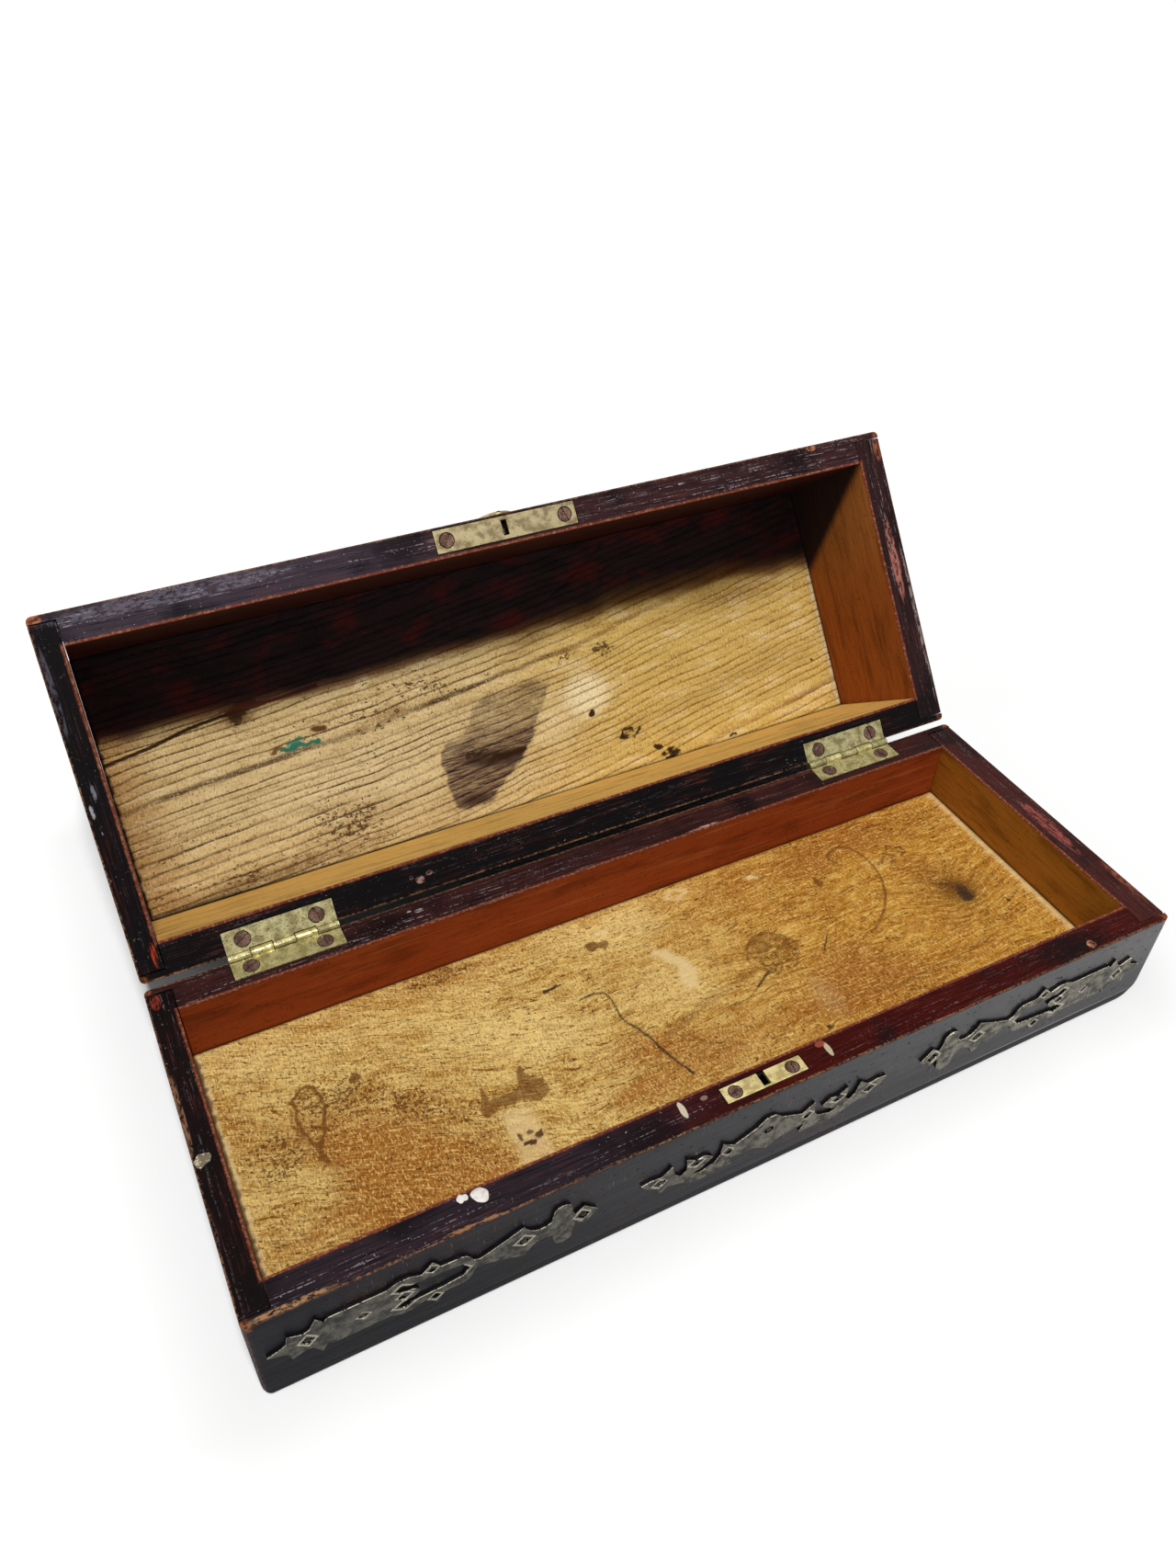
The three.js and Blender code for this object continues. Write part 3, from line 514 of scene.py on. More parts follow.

# %% [markdown]
# ## The two boards
# Each tray is closed by a thick board, and its bare inner face is what the eye looks at: grain, stains,
# scratches and, on the deep tray's board, a painted shadow. A board is a slab: one closed outline across
# the width, carried along the length in fine steps. Noise in the shader would put stains anywhere and give
# them any shape. Here each point of the face carries how much it is stained, so a stain has its own place
# and outline.

# %% Formulas for marks on a face
def smooth(value, low, high):
    """0 below low, 1 above high, and the S curve 3t^2 - 2t^3 between."""
    t = np.clip((value - low) / (high - low), 0, 1)
    return t * t * (3 - 2 * t)


def wander(x, y, size, seed):
    """A smooth random field from -1 to 1: seeded numbers on a lattice size mm apart, blended between the
    four corners of each cell by the S curve."""
    lattice = np.random.default_rng(seed).uniform(-1, 1, (512, 512))
    u, v = x / size + 200, y / size + 200
    i, j = np.floor(u).astype(int), np.floor(v).astype(int)
    a, b = smooth(u - i, 0, 1), smooth(v - j, 0, 1)

    def corner(p, q):
        return lattice[(i + p) % 512, (j + q) % 512]

    return (corner(0, 0) * (1 - a) * (1 - b) + corner(1, 0) * a * (1 - b)
            + corner(0, 1) * (1 - a) * b + corner(1, 1) * a * b)


def flowing(points, steps=8):
    """A smooth line through the points: on each stretch the Catmull-Rom cubic of its two ends and their
    neighbours."""
    p = np.array([points[0], *points, points[-1]], float)
    t = np.linspace(0, 1, steps, endpoint=False)[:, None]
    runs = [0.5 * (2 * b + (c - a) * t + (2 * a - 5 * b + 4 * c - d) * t**2 + (3 * b - a - 3 * c + d) * t**3)
            for a, b, c, d in zip(p, p[1:], p[2:], p[3:])]
    return [*map(tuple, np.concatenate(runs)), tuple(points[-1])]


def from_line(x, y, points):
    """The distance from each point of the face to a line of straight stretches."""
    best = np.full(x.shape, 1e9)
    for (ax, ay), (bx, by) in zip(points, points[1:]):
        dx, dy = bx - ax, by - ay
        t = np.clip(((x - ax) * dx + (y - ay) * dy) / (dx * dx + dy * dy), 0, 1)
        best = np.minimum(best, np.hypot(x - ax - t * dx, y - ay - t * dy))
    return best


def into_patch(x, y, points):
    """The distance to a patch's outline, positive inside it: inside is where a ray crosses it an odd number
    of times."""
    ring = [*points, points[0]]
    odd = np.zeros(x.shape, bool)
    for (ax, ay), (bx, by) in zip(ring, ring[1:]):
        if ay != by:
            odd ^= ((ay > y) != (by > y)) & (x < (bx - ax) * (y - ay) / (by - ay) + ax)
    away = from_line(x, y, ring)
    return np.where(odd, away, -away)


def strokes(x, y, *lines):
    """Drawn lines, each as (width, strength, points, False if straight): full strength on it, nothing beyond
    half its width and 0.5 mm more."""
    def stroke(width, strength, points, curved=True):
        away = from_line(x, y, flowing(points) if curved else points)
        return strength * (1 - smooth(away, 0.25 * width, 0.5 * width + 0.5))
    return [stroke(*line) for line in lines]


def blots(x, y, *ovals):
    """Oval blots, each as (middle x and y, half length and breadth, strength, softness of its edge)."""
    def blot(cx, cy, rx, ry, strength, soft=0.25):
        return strength * (1 - smooth(np.hypot((x - cx) / rx, (y - cy) / ry), 1 - soft, 1 + soft))
    return [blot(*oval) for oval in ovals]


def clouds(x, y, *bells):
    """A sum of soft clouds, bell curves in both directions, each as (middle x and y, half length and
    breadth, strength), where a strength below 0 takes away."""
    return sum(strength * np.exp(-((x - cx) / rx) ** 2 - ((y - cy) / ry) ** 2)
               for cx, cy, rx, ry, strength in bells)


def layered(*marks):
    """Marks on top of each other: what one leaves bare, the next may cover, 1 - (1-a)(1-b)..."""
    bare_share = 1.0
    for mark in marks:
        bare_share = bare_share * (1 - np.clip(mark, 0, 1))
    return 1 - bare_share


print("the S curve at a quarter and a half:", smooth(np.array([0.25, 0.5]), 0, 1))
print("two half marks on top of each other:", layered(0.5, 0.5))

# %% A slab with marks
BOARD_LOW, BOARD_HIGH = (-156.4, -49.75), (153.6, 48.95)


def board(name, half, face_z, back_z, draw, material, step=0.6):
    """A slab. Its outline across the width is a closed loop: fine steps over the visible face at height
    face_z, then two corners at back_z. Each station along the length repeats the outline. draw(x, y) gives
    the relief of the face in mm and the marks, one number for each point."""
    xs, ys = (np.linspace(a, b, int((b - a) / step) + 1) for a, b in zip(BOARD_LOW, BOARD_HIGH))
    x, y = np.meshgrid(xs, ys, indexing="ij")
    relief, marks = draw(x, y)
    from_ends = np.minimum(x - BOARD_LOW[0], BOARD_HIGH[0] - x)
    from_sides = np.minimum(y - BOARD_LOW[1], BOARD_HIGH[1] - y)
    margin = smooth(np.minimum(from_ends, from_sides), 0, 1.5)
    inwards = 1 if face_z > back_z else -1
    face = np.stack([x, y, face_z + inwards * relief * margin], -1)
    corners = np.array([[(sx, BOARD_HIGH[1], back_z), (sx, BOARD_LOW[1], back_z)] for sx in xs])
    loop = np.concatenate([face, corners], 1)
    stations, around = loop.shape[:2]
    points = loop.reshape(-1, 3) * MM
    if half == "upper":
        pin = np.array([0, PIN_Y, PIN_Z]) * MM
        turn = np.array(Matrix.Rotation(-OPEN_ANGLE, 3, "X"))
        points = (points - pin) @ turn.T + pin
    index = np.arange(stations * around).reshape(stations, around)
    following = np.roll(index, -1, 1)
    quads = np.stack([index[:-1], index[1:], following[1:], following[:-1]], -1).reshape(-1, 4)
    ends = [list(index[0]), list(index[-1][::-1])]
    if face_z < back_z:
        quads = quads[:, ::-1]
        ends = [loop_end[::-1] for loop_end in ends]
    mesh = bpy.data.meshes.new(name)
    mesh.from_pydata(points, [], quads.tolist() + ends)
    smooth_faces = np.zeros(len(mesh.polygons), bool)
    across = np.tile(np.arange(around) < len(ys) - 1, stations - 1)
    smooth_faces[:len(across)] = across
    mesh.polygons.foreach_set("use_smooth", smooth_faces)
    for mark, amount in marks.items():
        values = np.concatenate([amount, amount[:, -1:], amount[:, :1]], 1).astype(np.float32)
        mesh.attributes.new(mark, "FLOAT", "POINT").data.foreach_set("value", values.ravel())
    add_piece(name, mesh, material, half, f"{half}_board")
    print(name, "triangles:", sum(len(p.vertices) - 2 for p in mesh.polygons), "marks:", list(marks))


# %% [markdown]
# ## Floor of the shallow tray
# Golden, waxed wood with a fine wavy grain, browned and speckled by what was kept in it: a ringed loop, a
# ragged brown patch, a round cup mark, a burn near the right end, cracks and pencil lines. The grain bends
# on its way, so the points also carry how far across it they lie, and the shader draws its streaks there.

# %% Floor marks
def floor_marks(x, y):
    """The relief of the floor and its marks, each a layered sum of blots, strokes, patches and clouds. Most
    outlines follow places pushed about by up to 0.7 mm, so that none is drawn too clean."""
    rx, ry = x + 0.7 * wander(x, y, 2.2, 3), y + 0.7 * wander(x, y, 2.2, 4)
    ring = [(-132, 17), (-132.4, 8), (-131, 2), (-128.7, -1.4), (-125.4, 3), (-123.3, 10.6), (-124.3, 19.3),
            (-128, 20.5)]
    torn = [(-79.1, -11.2), (-77.6, -9), (-76.1, -4), (-74.8, -3.6), (-74.3, -9), (-71.1, -10.1),
            (-64.6, -9), (-62, -1.4), (-60.2, -1), (-58.7, -6.8), (-54.8, -9), (-55.2, -15.5),
            (-60.2, -17.7), (-65.7, -14.4), (-71.1, -15.5), (-72.2, -13.3), (-76.5, -16.6), (-79.1, -15.5)]
    flame = [(3.9, 23.6), (9, 20.5), (13.7, 13.8), (14.2, 8), (12.6, 3), (7.2, 1.2), (5.7, 5.1), (8.3, 12.7),
             (2.8, 20.3)]
    square = [(-74.4, -15), (-63.4, -17), (-63, -37), (-75, -37)]
    patch = smooth(into_patch(rx, ry, torn), -0.2, 0.7)
    cup = np.hypot(rx - 43.5, (ry - 3) * 1.02)
    cup_top = smooth(ry, 1.5, 5)
    brown = layered(
        smooth(into_patch(rx, ry, ring), -0.2, 0.6) * 0.14,
        patch * (0.78 + 0.2 * wander(x, y, 2.5, 8)),
        (1 - smooth(cup, 9.6, 10.6)) * (0.2 + 0.35 * wander(x, y, 1.5, 19) + 0.36 * cup_top),
        smooth(cup, 8.8, 9.8) * (1 - smooth(cup, 9.8, 10.8)) * 0.5,
        *strokes(
            rx, ry, (1.0, 1.0, [*ring, ring[0]]), (0.7, 0.6, [(-134, 14), (-134.4, 9), (-132.8, 3)]),
            (1.6, 0.85, [(-128.7, -1.4), (-129.2, -5), (-128.7, -9)]),
            *((0.8, 0.9, ends, False) for ends in (
                [(108.6, 23), (111.4, 26)], [(112.6, 27.4), (115.6, 24.4)], [(117.4, 28), (121, 27.4)],
                [(112, 21.6), (114, 22.4)], [(118, 23.4), (121, 25)], [(115, 29), (116.4, 30.4)]))),
        *strokes(
            x, y, (1.0, 0.7, [(92, 31.2), (90.9, 35.6), (96.3, 38.2), (101.7, 35.6), (104.3, 26.9),
                              (102.8, 16), (96.3, 5.1), (88.7, -1.4), (82.2, -4.7)]),
            (4.5, 0.4, [(-9.1, -12.3), (12.6, -5.7), (32.2, -1.4)]),
            (1.6, 0.45, [(-5.9, -14.4), (1.7, -21), (12.6, -27.5)]),
            (1.6, 0.4, [(47.4, -26.4), (80, -29), (112.6, -27.5), (123.5, -21), (131.1, -12.3)]),
            (1.4, 0.3, [(-50, -14), (-42, -20), (-28, -22), (-12, -21), (2, -22)])),
        *blots(rx, ry, (-110.9, 17, 2.0, 1.7, 0.9), (-15.5, 34.2, 2.4, 2.2, 0.95),
               (-11, 33.2, 2.6, 1.8, 0.85), (79, 25.6, 1.2, 2.6, 0.95), (80.4, 24.6, 1.2, 1.6, 0.7),
               (123, 3, 14, 11, 0.4, 0.9), (127, -3, 8, 7, 0.5, 0.8), (116.4, 42.5, 4.2, 0.9, 0.6),
               (-52.6, 25.8, 3, 1, 0.5)),
    )
    shade = 0.5 + 0.14 * wander(x, y, 26, 12) + 0.1 * wander(x, y * 2.5, 11, 13) + clouds(
        x, y, (-112, -34, 46, 14, 0.55), (66, -16, 17, 15, 0.5), (102, 39, 34, 6, 0.4),
        (-17, -14, 20, 7, 0.4), (104, 23, 12, 6, -0.25), (8, 0, 16, 26, -0.2), (-150, 40, 16, 10, -0.3),
        (-150, 22, 9, 24, 0.28), (-66, 44, 34, 8, 0.3), (28, 34, 20, 12, 0.3), (128, 12, 26, 26, 0.22),
        (66, -28, 60, 9, 0.3), (-24, -30, 20, 6, 0.35), (88, 36, 30, 12, 0.2), (10, -20, 26, 10, 0.25),
        (-142, -6, 10, 18, -0.3), (-102, 32, 26, 10, -0.25), (-38, 4, 26, 14, -0.3),
        (-66, 12, 18, 12, -0.25), (-46, -38, 30, 8, -0.15), (-4, 37, 34, 9, -0.4),
    ) + clouds(x, y + 0.45 * (x + 118), (-118, -8, 34, 15, 0.6))
    off_band = from_line(rx, ry, [(-126, 14), (-104, 5), (-88, -8), (-78, -12)])
    freckled = (
        0.34 * (1 - smooth(off_band, 1, 10)) + 0.38 * (1 - smooth(off_band, 5, 30))
        + 0.9 * (cup < 9.3) * (1 - cup_top) + clouds(x, y, (120, 4, 11, 9, 0.8)) + 0.25 * wander(x, y, 14, 27)
        + 0.3 * (1 - smooth(x, -70, -20)) + 0.3 * smooth(x, 90, 130)
        + sum(blots(x, y, (-143.5, 0, 9.9, 8.1, 0.6, 1 / 3), (-70, 45, 13.5, 3.6, 0.8, 1 / 3),
                    (115.5, 25.5, 7.2, 3.6, 0.8, 0.375), (141, 36, 8.5, 8.5, 0.5, 0.412),
                    (-140, -20, 14.4, 14.4, 0.5, 0.5))))
    grain = (y - 0.36 * 14 * np.logaddexp(0, -(x + 48) / 14) + 1.6 * wander(x, y, 16, 34)
             + 0.7 * wander(x, y, 6, 35)
             + clouds(x, y, (127, -4, 20, 13, 9), (43, 3, 16, 10, 4), (-128, 8, 12, 12, 4)))
    speck = layered(*blots(rx, ry, (140.9, -14, 0.9, 0.9, 0.8), (86, -9.5, 0.9, 0.8, 0.6),
                           (-69.6, -29.7, 2.4, 1.1, 0.95), (-65.6, -28.2, 1.6, 1.3, 0.85),
                           (-71, -26.6, 1.1, 1.5, 0.7), (-67.4, -26, 1.2, 0.8, 0.6)))
    dark = layered(
        *strokes(rx, ry, (0.9, 0.95, [(-39.6, 23.4), (-36.5, 22.6), (-33.5, 23.2)]),
                 (0.8, 0.35, [(-18.4, -3), (-15.2, -12.3), (-13, -21), (-9.6, -29.7)])),
        *strokes(
            x, y, (0.7, 0.62, [(-29.1, 14.3), (-22.2, 13.8), (-20, 9.5), (-20.4, 0.8), (-17.8, -5.7),
                               (-15.2, -12.3), (-13, -21), (-9.6, -29.7)]),
            (0.6, 0.5, [(14.8, -11.2), (23.5, -11.2), (32.2, -6.8), (37.6, -3.6)]),
            (0.5, 0.34, [(7.2, 35.6), (1.7, 24.7), (-10.2, 9.5), (-18.9, 0.8)]),
            (0.5, 0.34, [(34.3, 22.5), (26.7, 20.3), (22.4, 14.9), (21.3, 9.5), (27.8, 6.2)]),
            (0.5, 0.3, [(0.7, 38.8), (-9.1, 31.2)], False), (0.7, 0.5, [(60, -5.7), (67, 1.9)], False),
            (0.5, 0.26, [(58.9, 37.7), (60.4, 24.7), (60, 13.8)]),
            (0.6, 0.4, [(30, -8), (37, -4), (36, -7), (40, -6.5)], False)),
        *blots(rx, ry, (127.8, -4.4, 3.4, 5, 0.85, 0.95), (123.6, 2.6, 3.2, 2.4, 0.45, 0.9),
               (43, -34, 1.6, 0.8, 0.7)),
    )
    pale = layered(
        smooth(into_patch(rx, ry, square), -1, 2.6) * 0.5,
        smooth(into_patch(rx, ry, flame), -1.2, 1.8) * 0.72,
        *strokes(rx, ry, (1.5, 0.55, [(20.6, 43.8), (25.7, 46.2), (30.4, 43.8), (25.7, 41.4), (20.6, 43.8)])),
        *blots(rx, ry, (-9.1, 38.8, 2.6, 1.8, 0.7), (57.2, 38.4, 2.2, 1.2, 0.75),
               (49.5, -22, 4, 9, 0.14, 0.8)),
        smooth(x + 0.8 * wander(x, y, 2, 32), 149.6, 152.6) * 0.6,
        (1 - smooth(x + 0.8 * wander(x, y, 2, 31), -155.2, -154)) * 0.6,
    )
    seam = layered(1 - smooth(x + 0.6 * wander(x, y, 1.6, 33), -155.9, -155.0), smooth(y, 48, 48.7) * 0.6,
                   (1 - smooth(y, -49.5, -48.8)) * 0.5)
    relief = 0.10 * wander(x * 0.15, y, 0.9, 41) - 0.16 * dark - 0.08 * patch + 0.05 * wander(x, y, 5, 42)
    return relief, {"brown": brown, "shade": np.clip(shade, 0, 1), "speck": speck, "dark": dark,
                    "pale": pale, "seam": seam, "grain": grain, "freckled": np.clip(freckled, 0, 1.3)}


# %% Floor wood
def mark_reader(place):
    """A function that gives the wire of a mark, by its name, that the points of a piece carry."""
    return lambda name: place.node("Attribute", {"attribute_name": name}, {}, 2)


floor_wood, floor_shader, place = start("waxed_floor_wood")
mark = mark_reader(place)
x, _, z = split(place)
flow = place.node("CombineXYZ", {}, {0: x, 1: mark("grain")})
streak = noise(flow, 0.75, (8, 1, 1), 5, 0.72)
figure = noise(flow, 3.0, (7, 1, 1), 4, 0.62)
vein = noise(flow, 1.5, (24, 1, 1), 3, 0.5)
weave = noise(place, 0.55, (1, 2.6, 1), 3, 0.7)
patchy = noise(place, 8, (1.4, 1, 1), 5, 0.7)
grit = noise(place, 0.8, (1.2, 1, 1), 3, 0.65)
swell = (noise(flow, 10, (7, 1, 1), 3, 0.6) * 26 + noise(flow, 0.9, (6, 1, 1), 2) * 0.5).maths("FRACT")
freckle = most(fade(noise(place, 1.15, (1.2, 1, 1), 3, 0.7) + mark("freckled") * 0.17, 0.72, 0.75),
               fade(noise(place, 1.9, (1.2, 1, 1), 5, 0.8) + mark("freckled") * 0.16, 0.73, 0.76))
gold = tint((217, 183, 110), (198, 142, 50), fade(x, -60, 90))
deep_gold = tint((174, 124, 44), (160, 100, 22), fade(x, -60, 90))
outside = fade(z, 16, 15)
wood = coats(
    gold,
    (deep_gold, fade(figure, 0.44, 0.62) * 0.75),
    ((234, 198, 116), fade(figure, 0.46, 0.3) * 0.45),
    (deep_gold, fade(patchy, 0.48, 0.66) * 0.75),
    ((158, 94, 26), fade(mark("shade"), 0.46, 1.05) * 0.9),
    ((232, 200, 126), fade(mark("shade"), 0.5, 0.05) * 0.85),
    ((246, 210, 124), fade(streak, 0.52, 0.68) * 0.8),
    ((100, 56, 6), fade(streak, 0.48, 0.30) * 0.9),
    ((104, 58, 10), fade(swell, 0.72, 0.92) * fade(swell, 1.0, 0.95) * fade(vein, 0.38, 0.56)),
    ((92, 50, 4), fade(weave, 0.53, 0.65) * fade(x, -60, 60, 0.68, 0.5)),
    ((252, 220, 140), fade(weave, 0.47, 0.35) * fade(x, -60, 60, 0.58, 0.42)),
    ((86, 46, 14), freckle * 0.85),
    ((230, 202, 146), mark("pale")),
    ((108, 64, 20), ragged(mark("brown"), grit, 0.4) * fade(streak, 0.7, 0.35, 0.7, 1)),
    ((72, 38, 16), ragged(mark("speck"), grit)),
    ((48, 32, 24), ragged(mark("dark"), grit)),
    (blackened(place)[0], outside),
    ((70, 38, 16), mark("seam") * 0.8))
dress(floor_shader, wood, fade(streak, 0.3, 0.7, 0.5, 0.66), relief=streak + weave * 0.6, height=0.12,
      Specular_IOR_Level=0.1, Coat_Weight=outside * 0.35, Coat_Roughness=0.3)
board("floor_board", "lower", 17.5, 0.0, floor_marks, floor_wood)

# %% [markdown]
# ## Inner board of the deep tray
# Bare straw-coloured pine. Its yearly rings are cut at a slant, so dark lines about 3 mm apart run along
# the board and fall to the right. A wave texture would space them too evenly. Instead the points carry the
# ring number, bent by smooth random fields, and the shader turns it into lines.

# %% Pine marks
def pine_marks(x, y):
    """The relief of the board and its marks. The rings are the distance up the board plus a slope that grows
    to the right."""
    rx, ry = x + 0.8 * wander(x, y, 2.4, 53), y + 0.8 * wander(x, y, 2.4, 54)
    lean = np.interp(x, [-160, -60, 40, 160], [0, 6.5, 19, 39])
    level = y + lean + 1.2 * wander(x, y * 2, 34, 55) + 0.35 * wander(x, y, 9, 56)
    ring = level / 3.4 + 0.8 * wander(0 * x, level, 7, 59)
    outline = [(-34.1, 43.2), (-28, 44.6), (-22.2, 44.3), (-17.8, 43.2), (-8, 36), (1.7, 29), (10.4, 17.1),
               (16, 9), (20.2, 3), (10.4, -0.3), (1.7, 0.8), (-9.1, 0.8), (-17.8, 5.1), (-20, 10.6),
               (-25.4, 14.9), (-32, 16), (-35.2, 22.5), (-34.8, 33.4)]
    spill = smooth(into_patch(rx, ry, outline), -0.4, 1.6)
    stain = spill * np.clip(0.52 + 0.5 * smooth(y, 14, 24) - 0.12 * smooth(y, 36, 44)
                            + 0.1 * wander(x, y, 5, 57), 0, 1)
    blackest = spill * layered(*(clouds(x, y, bell) for bell in (
        (-8, 28, 15, 3.8, 0.7), (-20, 25, 9, 3, 0.5), (-25, 41, 10, 3.4, 0.6), (8, 4, 8, 2, 0.2))))
    pale = layered(
        *blots(rx, ry, (33.3, 12.7, 9.5, 9, 0.9, 0.5), (18, 20, 9, 8, 0.35, 0.8),
               (-57, -16.6, 3.2, 3, 0.5, 0.3)),
        clouds(x, y, (-70, 20, 50, 16, 0.3)), smooth(x + 0.8 * wander(x, y, 1.5, 58), 151.2, 152.8) * 0.8)
    brown = layered(
        *strokes(rx, ry, (1.2, 0.9, [(-97, 1.6), (-95, 0.4), (-92, 1.4)])),
        *blots(rx, ry, (-77.6, -3.2, 3.2, 1.2, 1.0), (-105.5, -16, 7, 5, 0.7, 0.9),
               (70.2, 38.8, 5, 2.4, 0.3, 0.7)),
        clouds(x, y, (-74, 34, 17, 7, 0.5)) * (0.6 + 0.5 * wander(x, y, 3, 61)),
        clouds(x, y, (-100, 43, 22, 4, 0.4)) * (0.6 + 0.5 * wander(x, y, 2.5, 60)),
        clouds(x, y, (44, -3, 12, 3, 0.25)) * (0.5 + 0.6 * wander(x, y, 2, 62)),
        clouds(x, y + 0.15 * (x - 100), (100, 24, 44, 4, 0.3)),
        *(clouds(x, y, bell) for bell in (
            (17, -15.5, 9, 5, 0.4), (-40, 38, 40, 6, 0.15), (-110, 46, 50, 4, 0.5), (110, -12, 44, 7, 0.5),
            (-150, 20, 8, 40, 0.3))),
    )
    scratched = 1 - smooth(np.abs(wander(x, y, 1.9, 70)), 0.2, 0.6)
    near_gouge, far_gouge, slit, short_slit = blots(
        rx, ry, (48.2, 33, 5.2, 2.6, 1, 0.3), (64.6, 46.8, 4.6, 2.6, 1, 0.3),
        (-4, 27.2, 13, 1.5, 0.75, 0.6), (-20, 23.4, 7, 1.2, 0.6, 0.6))
    gouge = layered(
        near_gouge * (0.35 + 0.65 * scratched), far_gouge * (0.4 + 0.6 * scratched), spill * slit,
        spill * short_slit,
        *blots(rx, ry, (45, 34, 1.4, 1, 0.9, 0.4), (59.4, 42.8, 2.4, 1.4, 0.95, 0.4),
               (-106.4, -15, 2.6, 3.4, 0.8, 0.8), (-102, -19, 5, 2.4, 0.8, 0.8), (96.3, 47.4, 1.8, 1, 0.85),
               (33.3, 21.2, 1.3, 1.4, 0.95), (143.7, 25.1, 0.7, 0.8, 0.8), (143.7, -8, 0.7, 0.7, 0.7)),
        *strokes(x, y, (1.1, 1.0, [(-156.5, -10.1), (-137.4, -12.7), (-124.3, -15.5), (-107, -17.3),
                                   (-87.4, -18.3), (-74.3, -19.4)]),
                 (0.8, 0.9, [(21.3, -27.5), (34.3, -32.9), (47.4, -40.5), (57.2, -46)])),
    )
    freckled = 0.35 * (1 - smooth(x, -20, 30)) + 0.3 * wander(x, y, 12, 63) + clouds(
        x, y, (-74, 34, 18, 8, 0.7), (-120, 44, 50, 6, 0.7), (-40, -6, 60, 12, 0.5), (45, -5, 6, 4, 1.5),
        (29, -5, 6, 3, 0.8))
    teal = layered(*strokes(rx, ry, (1.5, 0.95, [(-93.9, 1.6), (-88, 1.0), (-82, 1.6), (-79.1, 0.8)]),
                            (1.2, 0.7, [(-91.5, -0.6), (-85, -1.0)])))
    seam = layered(smooth(y, 47.9, 48.7) * (0.55 + 0.4 * (1 - smooth(x, -60, 20))),
                   smooth(y, 46.4, 48) * (1 - smooth(x, -130, -110)) * 0.7,
                   1 - smooth(x + 0.5 * wander(x, y, 1.6, 67), -155.9, -154.9))
    # the painted shadow of the front wall lies beyond a wavy line in front, which comes further in at the
    # right end
    forward = 4 * smooth(x, 120, 150) - y + 1.5 * wander(x, y, 9, 72)
    painted_shadow = smooth(forward, 16, 23 + 6 * smooth(x, 0, 60)) * 0.94
    relief = 0.06 * np.sin(2 * np.pi * ring) - 0.2 * gouge + 0.04 * wander(x, y, 4, 68)
    return relief, {"ring": ring, "stain": stain, "blackest": blackest, "pale": pale, "brown": brown,
                    "gouge": gouge, "teal": teal, "seam": seam, "painted_shadow": painted_shadow,
                    "freckled": np.clip(freckled, 0, 1.3)}


# %% Pine wood
pine_wood, pine_shader, place = start("bare_pine", "upper")
mark = mark_reader(place)
x, _, z = split(place)
ring_at = mark("ring") + (noise(place, 1.4, (9, 1, 1), 3, 0.6) - 0.5) * 0.16
part_of_ring = ring_at.maths("FRACT")
whole_rings = place.node("CombineXYZ", {}, {0: x * 0.02, 1: (ring_at - part_of_ring) * 3.7})
own = noise(whole_rings, 1, (1, 1, 1), 3, 0.6)
line = fade(part_of_ring, 0.62, 0.88) * fade(part_of_ring, 0.99, 0.93)
ring_depth = noise(place, 5, (9, 1, 1), 3, 0.6)
fibre = noise(place, 0.55, (12, 1, 1), 5, 0.7)
mottle = noise(place, 6, (3.5, 1, 1), 5, 0.68)
weft = noise(place, 0.6, (1, 2.4, 1), 3, 0.7)
grit = noise(place, 0.8, (1.4, 1, 1), 3, 0.65)
ringed = (line * fade(own, 0.34, 0.58, 0.5, 1) * fade(ring_depth, 0.34, 0.52, 0.5, 1)
          * fade(fibre, 0.66, 0.48, 0.6, 1) * fade(x, -20, 80, 1.0, 0.85))
freckle = most(fade(noise(place, 1.2, (1.4, 1, 1), 3, 0.65) + mark("freckled") * 0.15, 0.71, 0.77),
               fade(noise(place, 2.4, (1.6, 1, 1), 5, 0.75) + mark("freckled") * 0.15, 0.72, 0.77))
purple = tint((94, 70, 58), (38, 21, 24),
              most(line * fade(own, 0.3, 0.5, 0.5, 1), fade(fibre, 0.48, 0.3) * 0.7))
